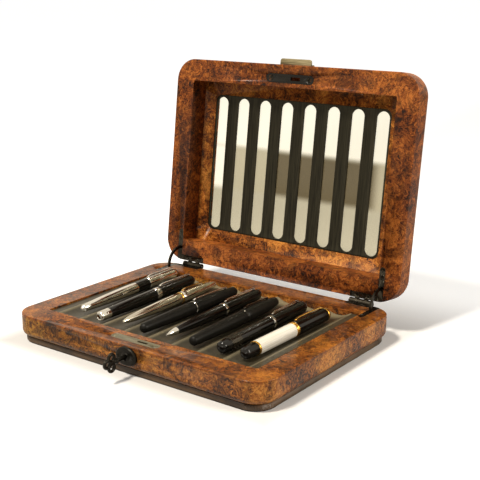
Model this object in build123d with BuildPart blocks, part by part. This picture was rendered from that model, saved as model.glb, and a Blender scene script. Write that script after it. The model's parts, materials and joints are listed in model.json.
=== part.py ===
from build123d import *
import os
from math import asin, cos, degrees, radians, sin, sqrt

# A shallow chest for eight pens, standing open. Millimetres, +Z up, X across the front, the front face
# towards -Y. The origin is at the middle of the baize pad's underside, on the surface it stands on.

os.makedirs("parts", exist_ok=True)

# ---- case: base frame, plinth, tray --------------------------------------------------------------
case_width = 280.0
case_depth = 212.0
case_corner = 22.0
baize_thickness = 1.0
baize_inset = 1.0  # behind the plinth's edge
plinth_height = 5.0
plinth_inset = 3.5
base_height = 21.0  # burl frame alone
base_rim_side = 22.4
base_rim_end = 25.0
base_lower_round = 6.0
rim_round = 0.8
well_corner = 2.0
seat_gap = 0.3  # round a loose piece in its seat
inlay_gap = 0.05  # round a fixed piece let into the wood
tray_below_rim = 1.8
tray_height = 13.0
groove_count = 8
tray_margin = 9.6  # well's side wall to the first groove
ridge_width = 1.8
groove_depth = 4.0

# ---- lid -----------------------------------------------------------------------------------------
lid_open = 97.0  # degrees, from shut
joint_gap = 0.4  # between the two rims, shut
lid_height = 27.0
lid_rim_side = 22.1
lid_rim_end = 21.7
lid_recess = 21.7
lid_upper_round = 12.0
window_side = 36.5  # from the lid's side to the window
window_end = 34.6
window_corner = 7.0
window_lip = 4.0  # outer skin left round the glass
mask_step = 0.5  # plate's face behind the panel's face
mask_thickness = 1.6
glass_thickness = 2.0
slot_width = 13.2
slot_end = 2.2  # from the slot's end to the window's edge

# ---- hinges with arc stays -----------------------------------------------------------------------
pin_behind = 3.6  # pin's centre behind the back face
pin_radius = 1.2
pin_clearance = 0.05
pin_head_radius = 1.9
pin_head = 0.7
knuckle_radius = 3.0
knuckle_count = 5
knuckle_gap = 0.25
knuckle_from_side = 50.0  # first knuckle's start, from the case's side
knuckle_row = 24.0
leaf_thickness = 1.5
leaf_beside_well = 0.7  # side leg's inner edge, from the well's wall
leaf_width = 5.7
leaf_end_flat = 0.2
side_leg = 33.0
rear_leg_from_side = 51.0  # rear leg's inner end, from the case's side
rear_leg_width = 5.6
stay_radius = 16.7
stay_width = 2.8
stay_thickness = 1.8
stay_clearance = 0.3
stop_radius = 1.3
stop_length = 3.8
stop_gap = 0.2
pocket_wall = 0.3
slot_clearance = 0.25
hinge_screw_radius = 0.8
hinge_screw_head = 1.5
hinge_screw_length = 7.0
leg_screws = (22.0, 29.0)  # on the side leg, from the back face
rear_screws = (8.0, 20.0)  # on the rear leg, from its inner end

# ---- lock ----------------------------------------------------------------------------------------
lock_back = 13.4  # lock's middle plane, behind the front face
face_length = 52.6
face_width = 9.2
face_thickness = 1.5
face_screw_pitch = 45.0
lock_screw_radius = 1.2
lock_screw_head = 2.4
lock_screw_length = 9.0
key_x = 2.5
key_below_rim = 9.0
case_length = 38.0
case_thickness = 8.6
case_below_plate = 17.4
case_wall = 1.0
follower_radius = 4.2
turn_clearance = 0.05
bolt_inner = 11.2
bolt_outer = 13.0
bolt_thickness = 2.0
bolt_low = -38.0  # degrees from level, unlocked
bolt_high = 15.0
spoke_sweep = 34.0
bolt_clearance = 0.4
key_turn = 90.0
hub_wall = 1.4
hub_clearance = 0.2
strike_x = 1.8
strike_length = 46.7
strike_width = 7.4
strike_thickness = 1.2
strike_screw_pitch = 37.0
strike_pocket_width = 4.4
escutcheon_width = 23.0
escutcheon_height = 16.6
escutcheon_thickness = 2.6
escutcheon_pin_pitch = 17.0
escutcheon_pin_radius = 0.7
escutcheon_pin_head = 1.3
escutcheon_pin_length = 6.0
pin_head_rounding = 0.8  # of the head's height
escutcheon_round = 1.8
lock_bore_radius = 5.5
key_shank_radius = 1.8
key_slack = 0.3
key_collar_radius = 2.9
key_reach = 18.0  # from the front face to the two inner rings
bow_ring = 3.3
bow_wire = 1.3
bow_spread = 4.1  # upper and lower ring from the key's axis
bow_forward = 5.7  # outer ring beyond the other two
bit_drop = 3.3
bit_width = 1.3
bit_length = 4.6
key_collar_at = 12.0  # in front of the front face
key_collar_length = 2.0

# ---- pull on the lid's front edge ----------------------------------------------------------------
pull_width = 36.0
pull_reach = 6.2
pull_corner = 2.5
pull_lip = 1.8
pull_foot = 6.4
pull_foot_thickness = 1.4
pull_height = 9.4  # lip's underside above the lid's rim face
pull_screw_pitch = 22.0
pull_screw_radius = 1.0
pull_screw_head = 1.9
pull_screw_length = 8.0

# ---- levels and places that follow ---------------------------------------------------------------
frame_bottom = baize_thickness + plinth_height
rim_top = frame_bottom + base_height
front_face = -case_depth / 2
back_face = case_depth / 2
well_width = case_width - 2 * base_rim_side
well_depth = case_depth - 2 * base_rim_end
tray_top = rim_top - tray_below_rim
tray_bottom = tray_top - tray_height
groove_pitch = (well_width - 2 * tray_margin) / groove_count
groove_chord = groove_pitch - ridge_width
groove_radius = (groove_chord**2 / 4 + groove_depth**2) / (2 * groove_depth)
groove_xs = [(i - (groove_count - 1) / 2) * groove_pitch for i in range(groove_count)]

lid_bottom = rim_top + joint_gap
panel_level = lid_bottom + lid_recess
pin_y = back_face + pin_behind
pin_z = rim_top + joint_gap / 2
knuckle_inner = case_width / 2 - knuckle_from_side
leaf_inner = well_width / 2 + leaf_beside_well
rear_leg_inner = case_width / 2 - rear_leg_from_side

# The lid is drawn shut and every one of its planes is swung about the hinge pins to where it stands.
swing = Pos(0, pin_y, pin_z) * Rot(-lid_open, 0, 0) * Pos(0, -pin_y, -pin_z)


def on_lid(plane):
    return Plane(swing * plane.location)


def lid_axis(x, y, z, direction):
    placed = on_lid(Plane((x, y, z), z_dir=direction))
    return Axis(placed.origin, placed.z_dir)


lid_up = lid_axis(0, 0, 0, (0, 0, 1))


def level(z):
    return Plane.XY.offset(z)


def facing_front(y):
    # a plane with X to the right and Z up, facing the front
    return Plane.XZ.offset(-y)


def across(x):
    # a plane with Y to the right and Z up, facing +X
    return Plane.YZ.offset(x)


# ---- base ----------------------------------------------------------------------------------------
with BuildPart() as baize_pad:
    with BuildSketch():
        RectangleRounded(
            case_width - 2 * (plinth_inset + baize_inset),
            case_depth - 2 * (plinth_inset + baize_inset),
            case_corner - plinth_inset - baize_inset,
        )
    extrude(amount=baize_thickness)

with BuildPart() as plinth_board:
    with BuildSketch(level(baize_thickness)):
        RectangleRounded(
            case_width - 2 * plinth_inset, case_depth - 2 * plinth_inset, case_corner - plinth_inset
        )
    extrude(amount=plinth_height)
    chamfer(plinth_board.faces().sort_by(Axis.Z)[0].edges(), rim_round / 2)

with BuildPart() as compartment_floor:
    with BuildSketch(level(frame_bottom)):
        RectangleRounded(well_width - 2 * seat_gap, well_depth - 2 * seat_gap, well_corner)
    extrude(amount=tray_bottom - frame_bottom)

with BuildPart() as pen_tray:
    with BuildSketch(level(tray_bottom)):
        RectangleRounded(well_width - 2 * seat_gap, well_depth - 2 * seat_gap, well_corner)
    extrude(amount=tray_height)
    with BuildSketch(facing_front(-well_depth / 2)):
        with Locations(*[(x, tray_top - groove_depth + groove_radius) for x in groove_xs]):
            Circle(groove_radius)
    extrude(amount=-well_depth, mode=Mode.SUBTRACT)

baize_pad.part.label = "baize_pad"
plinth_board.part.label = "plinth_board"
compartment_floor.part.label = "compartment_floor"
pen_tray.part.label = "pen_tray"


def ring_slice(centre, inner, outer, start, sweep):
    # a slice of a flat ring; degrees count from the sketch's x direction towards its y direction
    with BuildSketch() as slice_face:
        with BuildLine():
            near = CenterArc(centre, inner, start, sweep)
            far = CenterArc(centre, outer, start, sweep)
            Line(near @ 0, far @ 0)
            Line(near @ 1, far @ 1)
        make_face()
    return slice_face.sketch


def countersunk_screws(plane, places, shank, head, length):
    # screws in a row of places, their heads level with the plane
    top_down = (Align.CENTER, Align.CENTER, Align.MAX)
    with BuildPart(plane) as screws:
        with Locations(*places):
            Cone(shank, head, head - shank, align=top_down)
            Cylinder(shank, length, align=top_down)
    return screws.part


def screw_holes(plane, places, shank, head, length):
    return countersunk_screws(plane, places, shank + inlay_gap, head + inlay_gap, length + inlay_gap)


# ---- hinge shapes --------------------------------------------------------------------------------
leaf_middle = leaf_inner + leaf_width / 2
stop_depth = leaf_thickness + stop_gap + stop_radius + joint_gap / 2
stop_angle = degrees(asin(stop_depth / stay_radius))
end_angle = degrees(asin(stop_radius / stay_radius))
stay_half_sweep = lid_open / 2 + stop_angle + end_angle
stay_inner = stay_radius - stay_width / 2
stay_outer = stay_radius + stay_width / 2
pocket_clearance_angle = 2.0
mouth_angle = 6.0  # how far a pocket's cut runs on past its mouth
knuckle_pitch = knuckle_row / knuckle_count
knuckle_length = knuckle_pitch - knuckle_gap


def leaf_outline(side, gap=0.0):
    # the L of one corner hinge, seen from above; side is +1 on the right, -1 on the left
    with BuildSketch() as outline:
        with Locations((side * leaf_middle, back_face - side_leg / 2)):
            Rectangle(leaf_width + 2 * gap, side_leg + 2 * gap)
        rear_leg = leaf_inner + leaf_width / 2 - rear_leg_inner
        with Locations((side * (leaf_middle - rear_leg / 2), back_face - rear_leg_width / 2)):
            Rectangle(rear_leg + 2 * gap, rear_leg_width + 2 * gap)
        front_end = outline.vertices().group_by(Axis.Y)[0]
        fillet(front_end, (leaf_width - leaf_end_flat) / 2)
    return outline.sketch


hinge_screw_places = []
for side in (-1, 1):
    hinge_screw_places += [(side * leaf_middle, back_face - reach) for reach in leg_screws]
    rear_leg_middle = back_face - rear_leg_width / 2
    hinge_screw_places += [(side * (rear_leg_inner + reach), rear_leg_middle) for reach in rear_screws]
hinge_screw = (hinge_screw_radius, hinge_screw_head, hinge_screw_length)


def knuckle_profile(web_bottom):
    # the eye round the pin with its web to the leaf, seen along the pin
    with BuildSketch() as profile:
        with Locations((pin_y, pin_z)):
            Circle(knuckle_radius)
        with Locations((back_face, web_bottom)):
            Rectangle(pin_behind, leaf_thickness, align=(Align.MIN, Align.MIN))
        with Locations((pin_y, pin_z)):
            Circle(pin_radius + pin_clearance, mode=Mode.SUBTRACT)
    return profile.sketch


def knuckle_starts(side, first):
    # where the eyes of one leaf start, along X
    starts = []
    for i in range(first, knuckle_count, 2):
        low = knuckle_inner + i * knuckle_pitch + knuckle_gap / 2
        starts.append(low if side > 0 else -low - knuckle_length)
    return starts


def stay_pocket_face(below):
    # the curved pocket that takes half a stay, in the base (below) or in the lid, drawn shut
    sweep = stay_half_sweep + pocket_clearance_angle + mouth_angle
    start = 180 - mouth_angle if below else 180 + mouth_angle - sweep
    return ring_slice(
        (pin_y, pin_z), stay_inner - stay_clearance, stay_outer + stay_clearance, start, sweep
    )


def stay_slot(side):
    # the opening in a leaf that the stay slides through, seen from above
    with BuildSketch() as slot:
        with Locations((side * leaf_middle, pin_y - stay_radius)):
            Rectangle(stay_thickness + 2 * slot_clearance, stay_width + 2 * stay_clearance)
    return slot.sketch


pocket_half_width = stop_length / 2 + pocket_wall

# ---- lock levels ---------------------------------------------------------------------------------
lock_y = front_face + lock_back
key_z = rim_top - key_below_rim
plate_bottom = rim_top - face_thickness
lock_case_bottom = plate_bottom - case_below_plate
case_front = lock_y - case_thickness / 2
hook_angle = radians(bolt_low + spoke_sweep + key_turn)
lock_screw = (lock_screw_radius, lock_screw_head, lock_screw_length)
face_screw_places = [(-face_screw_pitch / 2, lock_y), (face_screw_pitch / 2, lock_y)]


def bolt_window(height_low, height_high):
    # span along X, from the key's axis, that the hook needs between two heights above that axis
    left = height_low * cos(hook_angle) / sin(hook_angle) - bolt_clearance
    right = sqrt(bolt_outer**2 - height_low**2) + bolt_clearance
    return left, right


def domed_pins(plane, places, shank, head, length):
    # small round nails whose domed heads stand on the plane
    with BuildPart(plane) as pins:
        with Locations(*places):
            Cylinder(shank, length, align=(Align.CENTER, Align.CENTER, Align.MAX))
            Cylinder(head, shank, align=(Align.CENTER, Align.CENTER, Align.MIN))
        outward = Axis(plane.origin, plane.z_dir)
        fillet(pins.faces().sort_by(outward)[-1].edges(), shank * pin_head_rounding)
    return pins.part


escutcheon_face = front_face - escutcheon_thickness
escutcheon_pin_places = [
    (key_x - escutcheon_pin_pitch / 2, key_z),
    (key_x + escutcheon_pin_pitch / 2, key_z),
]

# ---- base frame ----------------------------------------------------------------------------------
with BuildPart() as base_frame:
    with BuildSketch(level(frame_bottom)):
        RectangleRounded(case_width, case_depth, case_corner)
    extrude(amount=base_height)
    fillet(base_frame.faces().sort_by(Axis.Z)[0].edges(), base_lower_round)
    fillet(base_frame.faces().sort_by(Axis.Z)[-1].edges(), rim_round)
    with BuildSketch(level(frame_bottom)):
        RectangleRounded(well_width, well_depth, well_corner)
    extrude(amount=base_height, mode=Mode.SUBTRACT)
    with BuildSketch(level(plate_bottom)):
        with Locations((0, lock_y)):
            SlotOverall(face_length + 2 * inlay_gap, face_width + 2 * inlay_gap)
    extrude(amount=face_thickness, mode=Mode.SUBTRACT)
    with BuildSketch(level(lock_case_bottom - inlay_gap)):
        with Locations((0, lock_y)):
            Rectangle(case_length + 2 * inlay_gap, case_thickness + 2 * inlay_gap)
    extrude(amount=case_below_plate + 2 * inlay_gap, mode=Mode.SUBTRACT)
    with BuildSketch(facing_front(front_face)):
        with Locations((key_x, key_z)):
            Circle(lock_bore_radius)
    extrude(amount=-lock_back, mode=Mode.SUBTRACT)
    for side in (-1, 1):
        with BuildSketch(level(rim_top - leaf_thickness)):
            add(leaf_outline(side, inlay_gap))
        extrude(amount=leaf_thickness, mode=Mode.SUBTRACT)
        with BuildSketch(across(side * leaf_middle)):
            add(stay_pocket_face(below=True))
        extrude(amount=pocket_half_width, both=True, mode=Mode.SUBTRACT)
    add(screw_holes(level(rim_top), hinge_screw_places, *hinge_screw), mode=Mode.SUBTRACT)
    add(screw_holes(level(rim_top), face_screw_places, *lock_screw), mode=Mode.SUBTRACT)
    with BuildSketch(facing_front(front_face)):
        with Locations(*escutcheon_pin_places):
            Circle(escutcheon_pin_radius + inlay_gap)
    extrude(amount=escutcheon_thickness - escutcheon_pin_length - inlay_gap, mode=Mode.SUBTRACT)

base_frame.part.label = "base_frame"

# ---- lid: frame, panel with its window, slotted plate and glass -----------------------------------
recess_width = case_width - 2 * lid_rim_side
recess_depth = case_depth - 2 * lid_rim_end
window_width = case_width - 2 * window_side
window_length = case_depth - 2 * window_end
strike_top = lid_bottom + strike_thickness
strike_window = bolt_window(lid_bottom - key_z, strike_top - key_z)
face_window = bolt_window(plate_bottom - key_z, rim_top - key_z)
pull_bottom = lid_bottom + pull_height
pull_front = front_face - pull_foot_thickness
pull_screw = (pull_screw_radius, pull_screw_head, pull_screw_length)
pull_screw_z = pull_bottom + (pull_lip + pull_foot) / 2
pull_screw_places = [(-pull_screw_pitch / 2, pull_screw_z), (pull_screw_pitch / 2, pull_screw_z)]
lid_rim_plane = on_lid(Plane((0, 0, lid_bottom), x_dir=(1, 0, 0), z_dir=(0, 0, -1)))
lid_screw_places = [(x, -y) for x, y in hinge_screw_places]
strike_screw_places = [
    (strike_x - strike_screw_pitch / 2, -lock_y),
    (strike_x + strike_screw_pitch / 2, -lock_y),
]

lid_forward = lid_axis(0, 0, 0, (0, -1, 0))
beak_reach = bolt_outer * sin(radians(bolt_high)) + bolt_clearance
strike_pocket_length = beak_reach + strike_window[1]
strike_pocket_middle = (strike_window[1] - beak_reach) / 2

with BuildPart() as lid_block:
    with BuildSketch(on_lid(level(lid_bottom))):
        RectangleRounded(case_width, case_depth, case_corner)
    extrude(amount=lid_height)
    fillet(lid_block.faces().sort_by(lid_up)[-1].edges(), lid_upper_round)
    fillet(lid_block.faces().sort_by(lid_up)[0].edges(), rim_round)

with BuildPart() as lid_frame:
    add(lid_block.part)
    split(bisect_by=on_lid(level(panel_level)), keep=Keep.BOTTOM)
    with BuildSketch(on_lid(level(lid_bottom))):
        RectangleRounded(recess_width, recess_depth, well_corner)
    extrude(amount=lid_recess, mode=Mode.SUBTRACT)
    for side in (-1, 1):
        with BuildSketch(on_lid(level(lid_bottom))):
            add(leaf_outline(side, inlay_gap))
        extrude(amount=leaf_thickness, mode=Mode.SUBTRACT)
        with BuildSketch(on_lid(across(side * leaf_middle))):
            add(stay_pocket_face(below=False))
        extrude(amount=pocket_half_width, both=True, mode=Mode.SUBTRACT)
    with BuildSketch(on_lid(level(lid_bottom))):
        with Locations((strike_x, lock_y)):
            SlotOverall(strike_length + 2 * inlay_gap, strike_width + 2 * inlay_gap)
    extrude(amount=strike_thickness, mode=Mode.SUBTRACT)
    with BuildSketch(on_lid(level(strike_top))):
        with Locations((key_x + strike_pocket_middle, lock_y)):
            Rectangle(strike_pocket_length, strike_pocket_width)
    extrude(amount=key_z + bolt_outer + bolt_clearance - strike_top, mode=Mode.SUBTRACT)
    add(screw_holes(lid_rim_plane, lid_screw_places, *hinge_screw), mode=Mode.SUBTRACT)
    add(screw_holes(lid_rim_plane, strike_screw_places, *lock_screw), mode=Mode.SUBTRACT)
    add(
        screw_holes(on_lid(facing_front(pull_front)), pull_screw_places, *pull_screw),
        mode=Mode.SUBTRACT,
    )

with BuildPart() as lid_panel:
    add(lid_block.part)
    split(bisect_by=on_lid(level(panel_level)), keep=Keep.TOP)
    with BuildSketch(on_lid(level(panel_level))):
        RectangleRounded(window_width, window_length, window_corner)
    extrude(amount=mask_step + mask_thickness + glass_thickness, mode=Mode.SUBTRACT)
    with BuildSketch(on_lid(level(panel_level))):
        RectangleRounded(
            window_width - 2 * window_lip, window_length - 2 * window_lip, window_corner - window_lip
        )
    extrude(amount=lid_height, mode=Mode.SUBTRACT)

with BuildPart() as slotted_plate:
    with BuildSketch(on_lid(level(panel_level + mask_step))):
        RectangleRounded(
            window_width - 2 * inlay_gap, window_length - 2 * inlay_gap, window_corner - inlay_gap
        )
        with Locations(*[(x, 0) for x in groove_xs]):
            SlotOverall(window_length - 2 * slot_end, slot_width, rotation=90, mode=Mode.SUBTRACT)
    extrude(amount=mask_thickness)

with BuildPart() as window_glass:
    with BuildSketch(on_lid(level(panel_level + mask_step + mask_thickness))):
        RectangleRounded(
            window_width - 2 * inlay_gap, window_length - 2 * inlay_gap, window_corner - inlay_gap
        )
    extrude(amount=glass_thickness)

lid_frame.part.label = "lid_frame"
lid_panel.part.label = "lid_panel"
slotted_plate.part.label = "slotted_plate"
window_glass.part.label = "window_glass"

# ---- corner hinges: leaves, pins, and the arc stays between the leaves ------------------------------
for side, hand in ((-1, "left"), (1, "right")):
    with BuildPart() as base_leaf:
        with BuildSketch(level(rim_top - leaf_thickness)):
            add(leaf_outline(side))
            RectangleRounded(case_width, case_depth, case_corner, mode=Mode.INTERSECT)
            add(stay_slot(side), mode=Mode.SUBTRACT)
        extrude(amount=leaf_thickness)
        for start in knuckle_starts(side, 0):
            with BuildSketch(across(start)):
                add(knuckle_profile(rim_top - leaf_thickness))
            extrude(amount=knuckle_length)
        add(screw_holes(level(rim_top), hinge_screw_places, *hinge_screw), mode=Mode.SUBTRACT)
    base_leaf.part.label = f"base_hinge_leaf_{hand}"
    export_step(base_leaf.part, f"parts/base_hinge_leaf_{hand}.step")

    with BuildPart() as lid_leaf:
        with BuildSketch(on_lid(level(lid_bottom))):
            add(leaf_outline(side))
            RectangleRounded(case_width, case_depth, case_corner, mode=Mode.INTERSECT)
            add(stay_slot(side), mode=Mode.SUBTRACT)
        extrude(amount=leaf_thickness)
        for start in knuckle_starts(side, 1):
            with BuildSketch(on_lid(across(start))):
                add(knuckle_profile(lid_bottom))
            extrude(amount=knuckle_length)
        add(screw_holes(lid_rim_plane, lid_screw_places, *hinge_screw), mode=Mode.SUBTRACT)
    lid_leaf.part.label = f"lid_hinge_leaf_{hand}"
    export_step(lid_leaf.part, f"parts/lid_hinge_leaf_{hand}.step")

    with BuildPart() as arc_stay:
        with BuildSketch(across(side * leaf_middle)):
            stay_start = 180 - lid_open / 2 - stay_half_sweep
            add(ring_slice((pin_y, pin_z), stay_inner, stay_outer, stay_start, 2 * stay_half_sweep))
        extrude(amount=stay_thickness / 2, both=True)
        with BuildSketch(across(side * leaf_middle)):
            with Locations((pin_y, pin_z)):
                with PolarLocations(
                    stay_radius, 2, stay_start + end_angle, 2 * (stay_half_sweep - end_angle), endpoint=True
                ):
                    Circle(stop_radius)
        extrude(amount=stop_length / 2, both=True)
    arc_stay.part.label = f"arc_stay_{hand}"
    export_step(arc_stay.part, f"parts/arc_stay_{hand}.step")

with BuildPart() as hinge_pins:
    for side in (-1, 1):
        row_start = knuckle_inner if side > 0 else -knuckle_inner - knuckle_row
        with BuildSketch(across(row_start)):
            with Locations((pin_y, pin_z)):
                Circle(pin_radius)
        extrude(amount=knuckle_row)
        with BuildSketch(across(row_start), across(row_start + knuckle_row + pin_head)):
            with Locations((pin_y, pin_z)):
                Circle(pin_head_radius)
        extrude(amount=-pin_head)

with BuildPart() as base_hinge_screws:
    add(countersunk_screws(level(rim_top), hinge_screw_places, *hinge_screw))

with BuildPart() as lid_hinge_screws:
    add(countersunk_screws(lid_rim_plane, lid_screw_places, *hinge_screw))

hinge_pins.part.label = "hinge_pins"
base_hinge_screws.part.label = "base_hinge_screws"
lid_hinge_screws.part.label = "lid_hinge_screws"

# ---- lock: case, face plate, follower and hook bolt, strike plate -----------------------------------
with BuildPart() as lock_case:
    with BuildSketch(level(lock_case_bottom)):
        with Locations((0, lock_y)):
            Rectangle(case_length, case_thickness)
    extrude(amount=case_below_plate)
    offset(amount=-case_wall, openings=lock_case.faces().sort_by(Axis.Z)[-1])
    with BuildSketch(facing_front(case_front)):
        with Locations((key_x, key_z)):
            Circle(follower_radius + turn_clearance)
    extrude(amount=-case_thickness, mode=Mode.SUBTRACT)

with BuildPart() as lock_face_plate:
    with BuildSketch(level(plate_bottom)):
        with Locations((0, lock_y)):
            SlotOverall(face_length, face_width)
        with Locations((key_x + sum(face_window) / 2, lock_y)):
            Rectangle(
                face_window[1] - face_window[0], bolt_thickness + 2 * bolt_clearance, mode=Mode.SUBTRACT
            )
    extrude(amount=face_thickness)
    add(screw_holes(level(rim_top), face_screw_places, *lock_screw), mode=Mode.SUBTRACT)

with BuildPart() as lock_screws:
    add(countersunk_screws(level(rim_top), face_screw_places, *lock_screw))

with BuildPart() as lock_follower:
    with BuildSketch(facing_front(case_front)):
        with Locations((key_x, key_z)):
            Circle(follower_radius)
    extrude(amount=-case_thickness)
    with BuildSketch(facing_front(case_front)):
        with Locations((key_x, key_z)):
            Circle(key_shank_radius + key_slack)
            Rectangle(
                bit_width + 2 * key_slack, bit_drop + key_slack, align=(Align.CENTER, Align.MAX)
            )
    extrude(amount=-(bit_length + 2 * key_slack), mode=Mode.SUBTRACT)

with BuildPart() as hook_bolt:
    hub_half = case_thickness / 2 - case_wall - hub_clearance
    with BuildSketch(facing_front(lock_y)):
        with Locations((key_x, key_z)):
            Circle(follower_radius + hub_wall)
    extrude(amount=hub_half, both=True)
    with BuildSketch(facing_front(lock_y)):
        add(ring_slice((key_x, key_z), follower_radius, bolt_outer, bolt_low, spoke_sweep))
        add(ring_slice((key_x, key_z), bolt_inner, bolt_outer, bolt_low, bolt_high - bolt_low))
    extrude(amount=bolt_thickness / 2, both=True)
    with BuildSketch(facing_front(lock_y)):
        with Locations((key_x, key_z)):
            Circle(follower_radius)
    extrude(amount=hub_half, both=True, mode=Mode.SUBTRACT)

with BuildPart() as strike_plate:
    with BuildSketch(on_lid(level(lid_bottom))):
        with Locations((strike_x, lock_y)):
            SlotOverall(strike_length, strike_width)
        with Locations((key_x + sum(strike_window) / 2, lock_y)):
            Rectangle(
                strike_window[1] - strike_window[0],
                bolt_thickness + 2 * bolt_clearance,
                mode=Mode.SUBTRACT,
            )
    extrude(amount=strike_thickness)
    add(screw_holes(lid_rim_plane, strike_screw_places, *lock_screw), mode=Mode.SUBTRACT)

with BuildPart() as strike_screws:
    add(countersunk_screws(lid_rim_plane, strike_screw_places, *lock_screw))

lock_case.part.label = "lock_case"
lock_face_plate.part.label = "lock_face_plate"
lock_screws.part.label = "lock_screws"
lock_follower.part.label = "lock_follower"
hook_bolt.part.label = "hook_bolt"
strike_plate.part.label = "strike_plate"
strike_screws.part.label = "strike_screws"

# ---- escutcheon and key ---------------------------------------------------------------------------
with BuildPart() as escutcheon:
    with BuildSketch(facing_front(front_face)):
        with Locations((key_x, key_z)):
            Ellipse(escutcheon_width / 2, escutcheon_height / 2)
    extrude(amount=escutcheon_thickness)
    fillet(escutcheon.faces().sort_by(Axis.Y)[0].edges(), escutcheon_round)
    with BuildSketch(facing_front(front_face)):
        with Locations((key_x, key_z)):
            Circle(key_shank_radius + key_slack)
            Rectangle(
                bit_width + 2 * key_slack, bit_drop + key_slack, align=(Align.CENTER, Align.MAX)
            )
        with Locations(*escutcheon_pin_places):
            Circle(escutcheon_pin_radius + inlay_gap)
    extrude(amount=escutcheon_thickness, mode=Mode.SUBTRACT)

with BuildPart() as escutcheon_pins:
    add(
        domed_pins(
            facing_front(escutcheon_face),
            escutcheon_pin_places,
            escutcheon_pin_radius,
            escutcheon_pin_head,
            escutcheon_pin_length,
        )
    )

with BuildPart() as key:
    bit_end = case_front + key_slack + bit_length
    with BuildSketch(facing_front(bit_end)):
        with Locations((key_x, key_z)):
            Circle(key_shank_radius)
    extrude(amount=bit_end - front_face + key_reach - bow_ring)
    with BuildSketch(facing_front(bit_end)):
        with Locations((key_x, key_z)):
            Rectangle(bit_width, bit_drop, align=(Align.CENTER, Align.MAX))
    extrude(amount=bit_length)
    with BuildSketch(facing_front(front_face - key_collar_at)):
        with Locations((key_x, key_z)):
            Circle(key_collar_radius)
    extrude(amount=key_collar_length)
    bow_places = [
        (front_face - key_reach, key_z + bow_spread),
        (front_face - key_reach, key_z - bow_spread),
        (front_face - key_reach - bow_forward, key_z),
    ]
    with Locations(*[Location((key_x, y, z), (0, 90, 0)) for y, z in bow_places]):
        Torus(bow_ring, bow_wire)
    with BuildSketch(facing_front(front_face - key_reach + bow_ring)):
        with Locations((key_x, key_z)):
            Circle(bow_wire)
    extrude(amount=bow_ring)

escutcheon.part.label = "escutcheon"
escutcheon_pins.part.label = "escutcheon_pins"
key.part.label = "key"

# ---- pull -----------------------------------------------------------------------------------------
with BuildPart() as pull_tab:
    with BuildSketch(on_lid(across(-pull_width / 2))):
        with BuildLine():
            Polyline(
                (front_face, pull_bottom),
                (front_face - pull_reach, pull_bottom),
                (front_face - pull_reach, pull_bottom + pull_lip),
                (pull_front, pull_bottom + pull_lip),
                (pull_front, pull_bottom + pull_foot),
                (front_face, pull_bottom + pull_foot),
                close=True,
            )
        make_face()
    extrude(amount=pull_width)
    lip_end = pull_tab.faces().sort_by(lid_forward)[-1]
    fillet(lip_end.edges().filter_by(lid_up), pull_corner)
    add(
        screw_holes(on_lid(facing_front(pull_front)), pull_screw_places, *pull_screw),
        mode=Mode.SUBTRACT,
    )

with BuildPart() as pull_screws:
    add(countersunk_screws(on_lid(facing_front(pull_front)), pull_screw_places, *pull_screw))

pull_tab.part.label = "pull_tab"
pull_screws.part.label = "pull_screws"

# ---- pens -----------------------------------------------------------------------------------------
# A pen's outline runs from its front end: distance along the pen, radius. Two points are joined by a
# straight line, three by an arc through the middle one, and more by a smooth curve. A pen keeps its
# gaps to the well's front and rear walls, and where that makes it longer or shorter than its outline,
# every distance along it is stretched alike.
rest_gap = 0.3  # between a pen and its groove
crown_rise = 0.15  # middle of a band above its edges
dome_angles = (0, 35, 65)  # degrees round a rounded end
clip_width = 2.6
clip_thickness = 0.9
clip_rise = 1.0  # clip's underside above the cap
clip_gap = 0.02
clip_lean = 14.0  # degrees to the left of straight up
clip_foot = 2.2  # length of the root that stands on the cap
clip_bend = 4.0  # length of the tip that bends down to the cap
clip_nub = 2.0
clip_nub_rise = 0.5
band_start, band_end, band_core = 11.0, 25.0, 5.3  # of the patterned band
finial_start, finial_end, finial_core = 121.0, 123.4, 5.6  # of the ivory pen's last ring


def pen_line(groove_x, front_gap, rear_gap, outline_length, lean, aside, drift, widest):
    # the plane of a pen lying in its groove, x along the pen from its front end and y upwards, and how
    # far its outline is stretched; lean in degrees carries the rear end to the left, aside is its front
    # end's place in the groove, and drift is how far from the groove's middle its widest stretch lies
    reach = groove_radius - rest_gap - widest
    axis_z = tray_top - groove_depth + groove_radius - sqrt(reach**2 - drift**2)
    turn = radians(lean)
    plane = Plane(
        (groove_x + aside, front_gap - well_depth / 2, axis_z),
        x_dir=(-sin(turn), cos(turn), 0),
        z_dir=(cos(turn), sin(turn), 0),
    )
    return plane, (well_depth - front_gap - rear_gap) / outline_length


def dome(base, radius, tip):
    # a quarter ellipse from the full radius to the pen's own line
    bends = [radians(angle) for angle in dome_angles]
    steps = [(base + (tip - base) * sin(bend), radius * cos(bend)) for bend in bends]
    return (*steps, (tip, 0))


def nose(tip, base, radius):
    return tuple(reversed(dome(base, radius, tip)))


def turned(line, *runs):
    # a solid of revolution about the pen's line
    plane, along = line
    runs = [[(distance * along, radius) for distance, radius in run] for run in runs]
    first, last = runs[0][0], runs[-1][-1]
    with BuildPart() as piece:
        with BuildSketch(plane):
            with BuildLine():
                if first[1] > 0:
                    Line((first[0], 0), first)
                for run in runs:
                    if len(run) == 2:
                        Line(*run)
                    elif len(run) == 3:
                        ThreePointArc(*run)
                    else:
                        Spline(*run)
                if last[1] > 0:
                    Line(last, (last[0], 0))
                Line((last[0], 0), (first[0], 0))
            make_face()
        revolve(axis=Axis(plane.origin, plane.x_dir))
    return piece.part


def ring(line, start, end, radius):
    # a slightly crowned band
    crown = (start + end) / 2
    edge = radius - crown_rise
    return turned(line, ((start, edge), (crown, radius), (end, edge)))


def sleeve(line, start, end, radius, core):
    # a band let into the piece that carries it
    with BuildPart() as band:
        add(ring(line, start, end, radius))
        add(turned(line, ((start, core), (end, core))), mode=Mode.SUBTRACT)
    return band.part


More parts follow.
